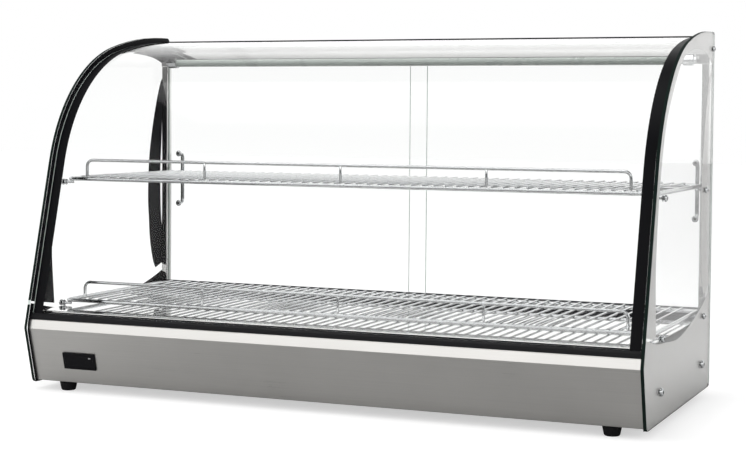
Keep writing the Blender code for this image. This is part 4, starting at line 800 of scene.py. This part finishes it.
def make_end_band(name, side):
    """A strip on the outer face, from the gasket up to the roof trim."""
    foot = GASKET_HIGH.z + BAND_RISE + PANE_INSET * math.sin(FRONT_LEAN)
    start = (foot - KINK_HEIGHT) / math.cos(FRONT_LEAN)
    band_end = PANE_HIGH.y - TRIM_LAP - BAND_RISE
    curves = []
    for inset in (PANE_INSET - FILM_GAP - FILM, PANE_INSET - FILM_GAP):
        line = side_line(inset, start, PANE_STEPS)
        curves.append(line[line[:, 0] < band_end])
    outer_x = PANE_HIGH.x - END_MARGIN
    ends = sorted((side * outer_x, side * (outer_x - END_BAND)))
    count = min(len(curve) for curve in curves)
    points, faces = sheet_between(curves[0][:count], curves[1][:count], ends[0], ends[1], FILM / 4)
    made = piece(name, points, turned_out(points, faces), BLACK_PRINT, sharp=25)
    return made


for name, side in (("left_end_band", -1), ("right_end_band", 1)):
    print(make_end_band(name, side).name)

# %% [markdown]
# A wire shelf is a bent frame rod with a stringer and 52 cross wires laid on top and welded. Every
# rod is a tube: a circle carried along a path. The wires are one tube repeated by adding an array
# of offsets, so a whole shelf is a few lines of arithmetic.

# %% Wire shelves
ROD_SIDES = 16
WIRE_SIDES = 10
FRAME_ROD = 8.0 * MM
SHELF_WIRE = 3.6 * MM
STRINGER = 6.0 * MM
WELD_SINK = 0.8 * MM
WIRE_PITCH = 21.7 * MM
WIRES_EACH_SIDE = 26
FRAME_CORNER = 7.0 * MM
STRINGER_SHARE = 0.45


def tube(path, radius, sides, closed=False, up=(0, 0, 1)):
    """A circle of a radius carried along a path that lies in the plane across the vector up.

    With tangent t, the circle is r (cos a up + sin a (up x t)). An open tube ends in a rounded
    cap: rings of radius r cos b, moved on by r sin b / 2, for b up to a right angle.
    """
    path = np.asarray(path, float)
    up = np.array(up, float)
    if closed:
        ahead = np.roll(path, -1, axis=0) - np.roll(path, 1, axis=0)
    else:
        ahead = np.gradient(path, axis=0)
    t = ahead / np.linalg.norm(ahead, axis=1, keepdims=True)
    radii = np.full(len(path), radius)
    if not closed:
        b = np.radians([88.0, 55.0, 25.0])
        shrink = np.cos(b) * radius
        path = np.vstack([path[0] - t[0] * (np.sin(b) * radius / 2)[:, None], path,
                          path[-1] + t[-1] * (np.sin(b[::-1]) * radius / 2)[:, None]])
        radii = np.concatenate([shrink, radii, shrink[::-1]])
        t = np.vstack([np.repeat(t[:1], 3, axis=0), t, np.repeat(t[-1:], 3, axis=0)])
    side = np.cross(up, t)
    a = np.linspace(0, 2 * math.pi, sides, endpoint=False)[None, :, None]
    ring = np.cos(a) * up + np.sin(a) * side[:, None, :]
    points = (path[:, None, :] + ring * radii[:, None, None]).reshape(-1, 3)
    faces = grid_faces(len(path), sides, closed_rows=closed)
    if not closed:
        faces.append(list(range(sides))[::-1])
        faces.append(list(range((len(path) - 1) * sides, len(path) * sides)))
    return points, turned_out(points, faces)


def rounded_path(corners, radius, closed, steps=8):
    """A path through corners in a plane, each replaced by an arc of a radius."""
    corners = np.asarray(corners, float)
    count = len(corners)
    parts = []
    for index in range(count):
        here = corners[index]
        if not closed and index in (0, count - 1):
            parts.append(here[None])
            continue
        back = corners[index - 1] - here
        ahead = corners[(index + 1) % count] - here
        back = back / np.linalg.norm(back)
        ahead = ahead / np.linalg.norm(ahead)
        half = math.acos(np.clip(back @ ahead, -1, 1)) / 2
        middle = (back + ahead) / np.linalg.norm(back + ahead)
        centre = here + middle * radius / math.sin(half)
        first = here + back * radius / math.tan(half) - centre
        last = here + ahead * radius / math.tan(half) - centre
        turn = math.acos(np.clip(first @ last / radius ** 2, -1, 1))
        share = np.linspace(0, 1, steps + 1)[:, None]
        arc = (np.sin((1 - share) * turn) * first + np.sin(share * turn) * last) / math.sin(turn)
        parts.append(centre + arc)
    return np.vstack(parts)


def repeated(points, faces, offsets):
    """Copies of a shell at each offset, as one array of points and one list of faces."""
    count = len(points)
    all_points = (points[None] + offsets[:, None, :]).reshape(-1, 3)
    all_faces = []
    for copy in range(len(offsets)):
        all_faces += [[index + copy * count for index in face] for face in faces]
    return all_points, all_faces


def joined(shells):
    """Several shells as one array of points and one list of faces."""
    points, faces, start = [], [], 0
    for block, shell in shells:
        points.append(block)
        faces += [[index + start for index in face] for face in shell]
        start += len(block)
    return np.vstack(points), faces


def make_shelf(name, node_name):
    """Frame rod, stringer and cross wires, in the box of the solid that they stand for."""
    low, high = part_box(node_name)
    half = FRAME_ROD / 2
    level = low.z + half
    corners = [(low.x + half, low.y + half, level), (high.x - half, low.y + half, level),
               (high.x - half, high.y - half, level), (low.x + half, high.y - half, level)]
    frame_rod = tube(rounded_path(corners, FRAME_CORNER, True), half, ROD_SIDES, closed=True)
    middle = low.y + half + (high.y - low.y - FRAME_ROD) * STRINGER_SHARE
    stringer_z = level + half - STRINGER / 2
    ends = [(low.x + half, middle, stringer_z), (high.x - half, middle, stringer_z)]
    stringer = tube(ends, STRINGER / 2, ROD_SIDES)
    crown = level + half + SHELF_WIRE / 2 - WELD_SINK
    wire_ends = [(0, low.y + SHELF_WIRE / 2, crown), (0, high.y - SHELF_WIRE / 2, crown)]
    one = tube(wire_ends, SHELF_WIRE / 2, WIRE_SIDES)
    x = (np.arange(WIRES_EACH_SIDE * 2) - WIRES_EACH_SIDE + 0.5) * WIRE_PITCH
    wires = repeated(*one, np.column_stack([x, x * 0, x * 0]))
    points, faces = joined([frame_rod, stringer, wires])
    made = piece(name, points, faces, CHROME, sharp=60)
    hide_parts(node_name)
    print(name, len(x), "wires,", len(faces), "faces")
    return made


for level_name in ("upper", "lower"):
    make_shelf(level_name + "_wire_shelf", level_name + "_shelf")

# %% [markdown]
# A guard rail keeps trays on the shelf. It is one rod bent down at both ends, with three posts
# welded between it and the shelf's front rod.

# %% Guard rails
GUARD_ROD = 6.0 * MM
GUARD_POST = 5.0 * MM
GUARD_CORNER = 12.0 * MM
POST_PITCHES = 13


def make_guard(name, node_name):
    """A rod bent down at both ends, and three posts at whole numbers of wire pitches."""
    low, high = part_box(node_name)
    y = (low.y + high.y) / 2
    top = high.z - GUARD_ROD / 2
    half = WIRE_PITCH * (WIRES_EACH_SIDE - 1)
    foot = low.z + GUARD_ROD / 4
    corners = [(-half, y, foot), (-half, y, top), (half, y, top), (half, y, foot)]
    rail = tube(rounded_path(corners, GUARD_CORNER, False), GUARD_ROD / 2, ROD_SIDES, up=(0, 1, 0))
    post = tube([(0, y, low.z + GUARD_POST / 4), (0, y, top)], GUARD_POST / 2, ROD_SIDES, up=(0, 1, 0))
    x = np.array([-1.0, 0.0, 1.0]) * WIRE_PITCH * POST_PITCHES
    posts = repeated(*post, np.column_stack([x, x * 0, x * 0]))
    points, faces = joined([rail, posts])
    made = piece(name, points, faces, CHROME, sharp=60)
    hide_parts(node_name)
    return made


for level_name in ("upper", "lower"):
    print(make_guard(level_name + "_guard_rod", level_name + "_guard_rail").name)

# %% [markdown]
# Studs and screws are turned parts: a profile of radius against place, spun round an axis. Each
# head has a hexagon socket, whose faces are painted near-black as painted shade in the recess. The
# first rows of the profile are hexagons and the next ones circles, so one grid of points makes the
# socket, the head and the shank.

# %% Turned parts with a hexagon socket
TURN_STEPS = 24
SOCKET_ROWS = 2
SOCKET_DEPTH_SHARE = 0.45
SOCKET_SHARE = 0.42
CROWN_SHARE = 1.35
RIM_HEIGHT = 0.25


def turned_grid(profile):
    """Rows of points (place, across, up) from rows of (place, radius).

    A row's point at angle a is (place, r cos a, r sin a). In the socket's rows the radius is that
    of a hexagon, r / cos(angle to the middle of the nearest flat).
    """
    angle = np.linspace(0, 2 * math.pi, TURN_STEPS, endpoint=False)
    to_flat = np.mod(angle + math.pi / 6, math.pi / 3) - math.pi / 6
    profile = np.asarray(profile, float)
    radius = np.repeat(profile[:, 1:], TURN_STEPS, axis=1)
    radius[:SOCKET_ROWS] = radius[:SOCKET_ROWS] / np.cos(to_flat)
    place = np.repeat(profile[:, :1], TURN_STEPS, axis=1)
    points = np.stack([place, radius * np.cos(angle), radius * np.sin(angle)], axis=-1)
    return points.reshape(-1, 3)


def head_profile(top, base, radius):
    """A domed head with a socket, from the socket's floor out over the top and down to its seat."""
    height = top - base
    socket = radius * SOCKET_SHARE
    sweep = np.radians(np.array([0.0, 22.0, 44.0, 66.0, 88.0]))
    flat = socket * CROWN_SHARE
    place = base + height * (RIM_HEIGHT + (1 - RIM_HEIGHT) * np.cos(sweep))
    dome = np.column_stack([place, flat + (radius - flat) * np.sin(sweep)])
    mouth = [(top - height * SOCKET_DEPTH_SHARE, socket), (top, socket)]
    return np.vstack([mouth, dome, [(base, radius)]])


def turned_shell(profile, to_world):
    """A turned part placed in the world, with a material number for each face: 1 in its socket, which gets
    painted shade.
    """
    points = to_world(turned_grid(profile))
    rows = len(profile)
    faces = grid_faces(rows, TURN_STEPS)
    faces.append(list(range(TURN_STEPS))[::-1])
    faces.append(list(range((rows - 1) * TURN_STEPS, rows * TURN_STEPS)))
    looks = [1] * (TURN_STEPS * (SOCKET_ROWS - 1)) + [0] * (TURN_STEPS * (rows - SOCKET_ROWS)) + [1, 0]
    return points, turned_out(points, faces), looks


def merged(name, shells, slot, *nodes, body="case"):
    """One piece from several turned parts, which stands for their solids."""
    points, faces = joined([(block, shell) for block, shell, _ in shells])
    made = piece(name, points, faces, [CHROME, SOCKET_PAINTED_SHADE], body=body, sharp=40)
    looks = np.concatenate([looks for _, _, looks in shells]).astype(np.int32)
    made.data.polygons.foreach_set("material_index", looks)
    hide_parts(*nodes)
    return made


# %% [markdown]
# The studs carry the shelves and the screws hold the glasses. Each one is placed from the box of
# its solid, mirrored for the left side, and all of a kind are merged into one piece.

# %% Shelf studs and screws
STUD_RADIUS = 6.0 * MM
STUD_SHANK = 3.0 * MM
STUD_WASHER = 5.75 * MM
WASHER_THICKNESS = 1.5 * MM
STUD_PIN = 2.5 * MM
PIN_ROUND = 0.5 * MM
OUTER_X = GLASS_HIGH.x


def on_side(node_name):
    """A placing function for a part on the axis of a solid that lies along x."""
    low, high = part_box(node_name)
    side = 1 if low.x > 0 else -1
    y, z = (low.y + high.y) / 2, (low.z + high.z) / 2

    def to_world(points):
        return np.column_stack([side * points[:, 0], y + points[:, 1], z + points[:, 2]])
    return to_world


def reach(node_name):
    """How far a solid reaches outward and inward from the middle of the case, along x."""
    low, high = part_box(node_name)
    far, near = max(abs(low.x), abs(high.x)), min(abs(low.x), abs(high.x))
    return far, near


def stud(node_name):
    """Head, shank through the glass, washer inside and the pin that carries the shelf."""
    far, near = reach(node_name)
    washer = INNER_X - REST_GAP
    back = washer - WASHER_THICKNESS
    inside = [(washer, STUD_SHANK), (washer, STUD_WASHER), (back, STUD_WASHER), (back, STUD_PIN),
              (near + PIN_ROUND, STUD_PIN), (near, STUD_PIN - PIN_ROUND)]
    seat = OUTER_X + REST_GAP
    profile = np.vstack([head_profile(far, seat, STUD_RADIUS), [(seat, STUD_SHANK)], inside])
    return turned_shell(profile, on_side(node_name))


def screw(node_name):
    """Head and shank of a screw through the side glass."""
    far, near = reach(node_name)
    low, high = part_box(node_name)
    seat = OUTER_X + REST_GAP
    head = head_profile(far, seat, (high.z - low.z) / 2)
    return turned_shell(np.vstack([head, [(seat, STUD_SHANK), (near, STUD_SHANK)]]), on_side(node_name))


STUD_NODES = [name for name in NODES if "_shelf_stud_" in name]
SCREW_NODES = [name for name in NODES if "_screw_" in name]
studs = merged("shelf_studs", [stud(name) for name in STUD_NODES], "chrome", *STUD_NODES)
screws = merged("case_screws", [screw(name) for name in SCREW_NODES], "chrome", *SCREW_NODES)
print(studs.name, "for", len(STUD_NODES), "solids,", screws.name, "for", len(SCREW_NODES))

# %% [markdown]
# A door handle is a flat bar bent into a bow behind the glass. Two screws with round heads hold it
# from inside. The bar is a rounded rectangle carried along the bow's path.

# %% Door handles
BAR_WIDTH = 8.0 * MM
BAR_THICKNESS = 4.0 * MM
BOW_CORNER = 9.0 * MM
HEAD_RADIUS = 6.5 * MM
HANDLE_SHANK = 2.5 * MM
SECTION_STEPS = 20


def flat_bar(path, x):
    """A bar carried along a path of (y, z) points at one x.

    Its section is a superellipse with the exponent 4: wide across x, thin across the path.
    """
    path = np.asarray(path, float)
    t = np.gradient(path, axis=0)
    t = t / np.linalg.norm(t, axis=1, keepdims=True)
    across = np.column_stack([-t[:, 1], t[:, 0]])
    a = np.linspace(0, 2 * math.pi, SECTION_STEPS, endpoint=False)
    wide = np.sign(np.cos(a)) * np.sqrt(np.abs(np.cos(a))) * BAR_WIDTH / 2
    thin = np.sign(np.sin(a)) * np.sqrt(np.abs(np.sin(a))) * BAR_THICKNESS / 2
    flat = path[:, None, :] + across[:, None, :] * thin[None, :, None]
    xs = np.broadcast_to(x + wide, flat.shape[:2])[..., None]
    points = np.concatenate([xs, flat], axis=-1).reshape(-1, 3)
    count = len(path)
    faces = grid_faces(count, SECTION_STEPS)
    faces.append(list(range(SECTION_STEPS))[::-1])
    faces.append(list(range((count - 1) * SECTION_STEPS, count * SECTION_STEPS)))
    return points, turned_out(points, faces)


def make_handle(side):
    """Bow and two screws, on the door that carries them."""
    name = side + "_door_handle"
    low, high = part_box(name)
    glass_low, glass_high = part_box(side + "_sliding_door")
    x = (low.x + high.x) / 2
    heights = (low.z + HEAD_RADIUS, high.z - HEAD_RADIUS)
    foot, crown = glass_high.y + REST_GAP, high.y - BAR_THICKNESS / 2
    corners = [(0, foot, heights[0]), (0, crown, heights[0]), (0, crown, heights[1]), (0, foot, heights[1])]
    bow = flat_bar(rounded_path(corners, BOW_CORNER, False)[:, 1:], x)
    shells = [(*bow, [0] * len(bow[1]))]
    for height in heights:
        def to_world(points, height=height):
            return np.column_stack([x + points[:, 1], -points[:, 0], height + points[:, 2]])
        head = head_profile(-low.y, -glass_low.y + REST_GAP, HEAD_RADIUS)
        shank = [(-glass_low.y + REST_GAP, HANDLE_SHANK), (-foot - REST_GAP, HANDLE_SHANK)]
        shells.append(turned_shell(np.vstack([head, shank]), to_world))
    return merged(side + "_bow_handle", shells, "chrome", name, body=side + "_door")


for side in ("left", "right"):
    print(make_handle(side).name)

# %% [markdown]
# The lower door track is a black channel with a groove for each door. Its front wall is raised above
# the track's solid to the level of the shelf, as a dark sheet for painted shade: the deck mirrors it
# as the dark gaps between the wires.

# %% Lower door track
TRACK_WALL = 1.3 * MM
TRACK_PLATE = 1.5 * MM
# How far the front wall is raised above the track's solid, as a dark sheet for painted shade in the deck's
# mirror image.
SHADE_WALL_RISE = 6.0 * MM
WALL_ROUND = 0.4 * MM
DOOR_CLEARANCE = 0.5 * MM


def track_section(low, high):
    """A comb: a plate, a front wall raised as painted shade, the other walls of the two grooves, and the gap
    between.
    """
    front = high.z + SHADE_WALL_RISE
    doors = [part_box(side + "_sliding_door") for side in ("left", "right")]
    grooves = [(box[0].y - DOOR_CLEARANCE, box[1].y + DOOR_CLEARANCE) for box in doors]
    walls = [(low.y, grooves[0][0], front), (grooves[0][1], grooves[0][1] + TRACK_WALL, high.z),
             (grooves[1][0] - TRACK_WALL, grooves[1][0], high.z), (grooves[1][1], high.y, high.z)]
    floor = low.z + TRACK_PLATE
    outline = [(low.y, low.z)]
    for near, far, top in walls:
        outline += [(near, floor), (near, top - WALL_ROUND), (near + WALL_ROUND, top),
                    (far - WALL_ROUND, top), (far, top - WALL_ROUND), (far, floor)]
    outline[1:2] = []
    outline[-1:] = [(high.y, low.z)]
    return outline


track_low, track_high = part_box("lower_door_track")
track_points, track_faces = extruded(track_section(track_low, track_high), track_low.x, track_high.x)
track = piece("lower_track_channel", track_points, track_faces, DARK_TRACK)
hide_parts("lower_door_track")
print("lower track: front wall to %.1f mm" % ((track_high.z + SHADE_WALL_RISE) / MM))

# %% [markdown]
# Two small white marks: the lit segments at the right end of the display, which are painted light,
# white paint for a glow with no lamp in it, and the printed pointer on the knob's grip, which turns
# with the knob. Each one is a thin film that stands a little off its face.

# %% Small marks
MARK_GAP = 0.05 * MM
MARK_FILM = 0.10 * MM
SEGMENT_WIDTH = 1.0 * MM
SEGMENT_PITCH = 3.0 * MM
SEGMENT_HEIGHT = 2.4 * MM
SEGMENT_DROP = 3.6 * MM
LENS_MARGIN = 5.0 * MM
LENS_LEAN = math.radians(14.1)
POINTER_WIDTH = 1.4 * MM
POINTER_LENGTH = 9.0 * MM
POINTER_START = 4.5 * MM


def film_on(face_y, low_z, high_z, lean, outward):
    """A thin (y, z) section over a face that passes (face_y, high_z) and leans by an angle."""
    foot_y = face_y + (high_z - low_z) * math.tan(lean)
    near, far = outward * MARK_GAP, outward * (MARK_GAP + MARK_FILM)
    return [(foot_y + near, low_z), (face_y + near, high_z), (face_y + far, high_z), (foot_y + far, low_z)]


lens_low, lens_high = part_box("display_lens")
segment_top = lens_high.z - SEGMENT_DROP
segment_face = lens_low.y + SEGMENT_DROP * math.tan(LENS_LEAN)
segment_section = film_on(segment_face, segment_top - SEGMENT_HEIGHT, segment_top, LENS_LEAN, -1)
segments = []
for pitch in (0, 1):
    right_x = lens_high.x - LENS_MARGIN - pitch * SEGMENT_PITCH
    segments.append(extruded(segment_section, right_x - SEGMENT_WIDTH, right_x))
# The display's lit segments: white paint as painted light, with no lamp in them.
display_painted_light = piece("display_painted_light", *joined(segments), WHITE_PRINT_AND_PAINTED_LIGHT)

knob_low, knob_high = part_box("thermostat_knob")
knob_x, knob_z = (knob_low.x + knob_high.x) / 2, (knob_low.z + knob_high.z) / 2
pointer_section = film_on(knob_high.y, knob_z + POINTER_START, knob_z + POINTER_START + POINTER_LENGTH, 0, 1)
pointer_shell = extruded(pointer_section, knob_x - POINTER_WIDTH / 2, knob_x + POINTER_WIDTH / 2)
pointer = piece("knob_pointer", *pointer_shell, WHITE_PRINT_AND_PAINTED_LIGHT, body="knob")
print("marks:", display_painted_light.name, pointer.name)

# %% [markdown]
# The rest of the case keeps its measured solids. Each one gets its finish by name.

# %% Finishes for the solids
FINISHES = {
    BRUSHED: ("base_front_panel", "base_rear_panel"),
    MILL: ("base_pan",),
    POLISHED: ("base_side_left", "base_side_right"),
    MIRROR: ("deck_plate", "left_rear_post", "right_rear_post", "top_rail"),
    SATIN: ("upper_door_track",),
    DARK_TRACK: ("lower_door_track",),
    SIDE_PANE: ("left_side_glass", "right_side_glass"),
    DOOR_PANE: ("left_sliding_door", "right_sliding_door"),
    FRONT_PANE: ("front_glass",),
    RUBBER: ("front_glass_gasket", "cable_gland", "left_front_foot", "right_front_foot",
             "left_rear_foot", "right_rear_foot"),
    BEZEL: ("display_bezel",),
    PLASTIC: ("light_rocker", "light_switch_frame", "power_rocker",
              "power_switch_frame", "thermostat_body", "thermostat_knob"),
    DARK_LENS: ("display_lens",),
    RED_LENS: ("indicator_lamp",),
    TUBE_GLASS: ("lamp_tube",),
    HOT_ROD: ("left_heating_element", "right_heating_element"),
}


def give_finish(item, finish):
    """Put one material in every slot of a solid."""
    if not item.data.materials:
        item.data.materials.append(finish)
    for index in range(len(item.data.materials)):
        item.data.materials[index] = finish


for item in NODES.values():
    give_finish(item, CHROME)
for finish, names in FINISHES.items():
    for name in names:
        give_finish(NODES[name], finish)
print("finished solids:", len(NODES))
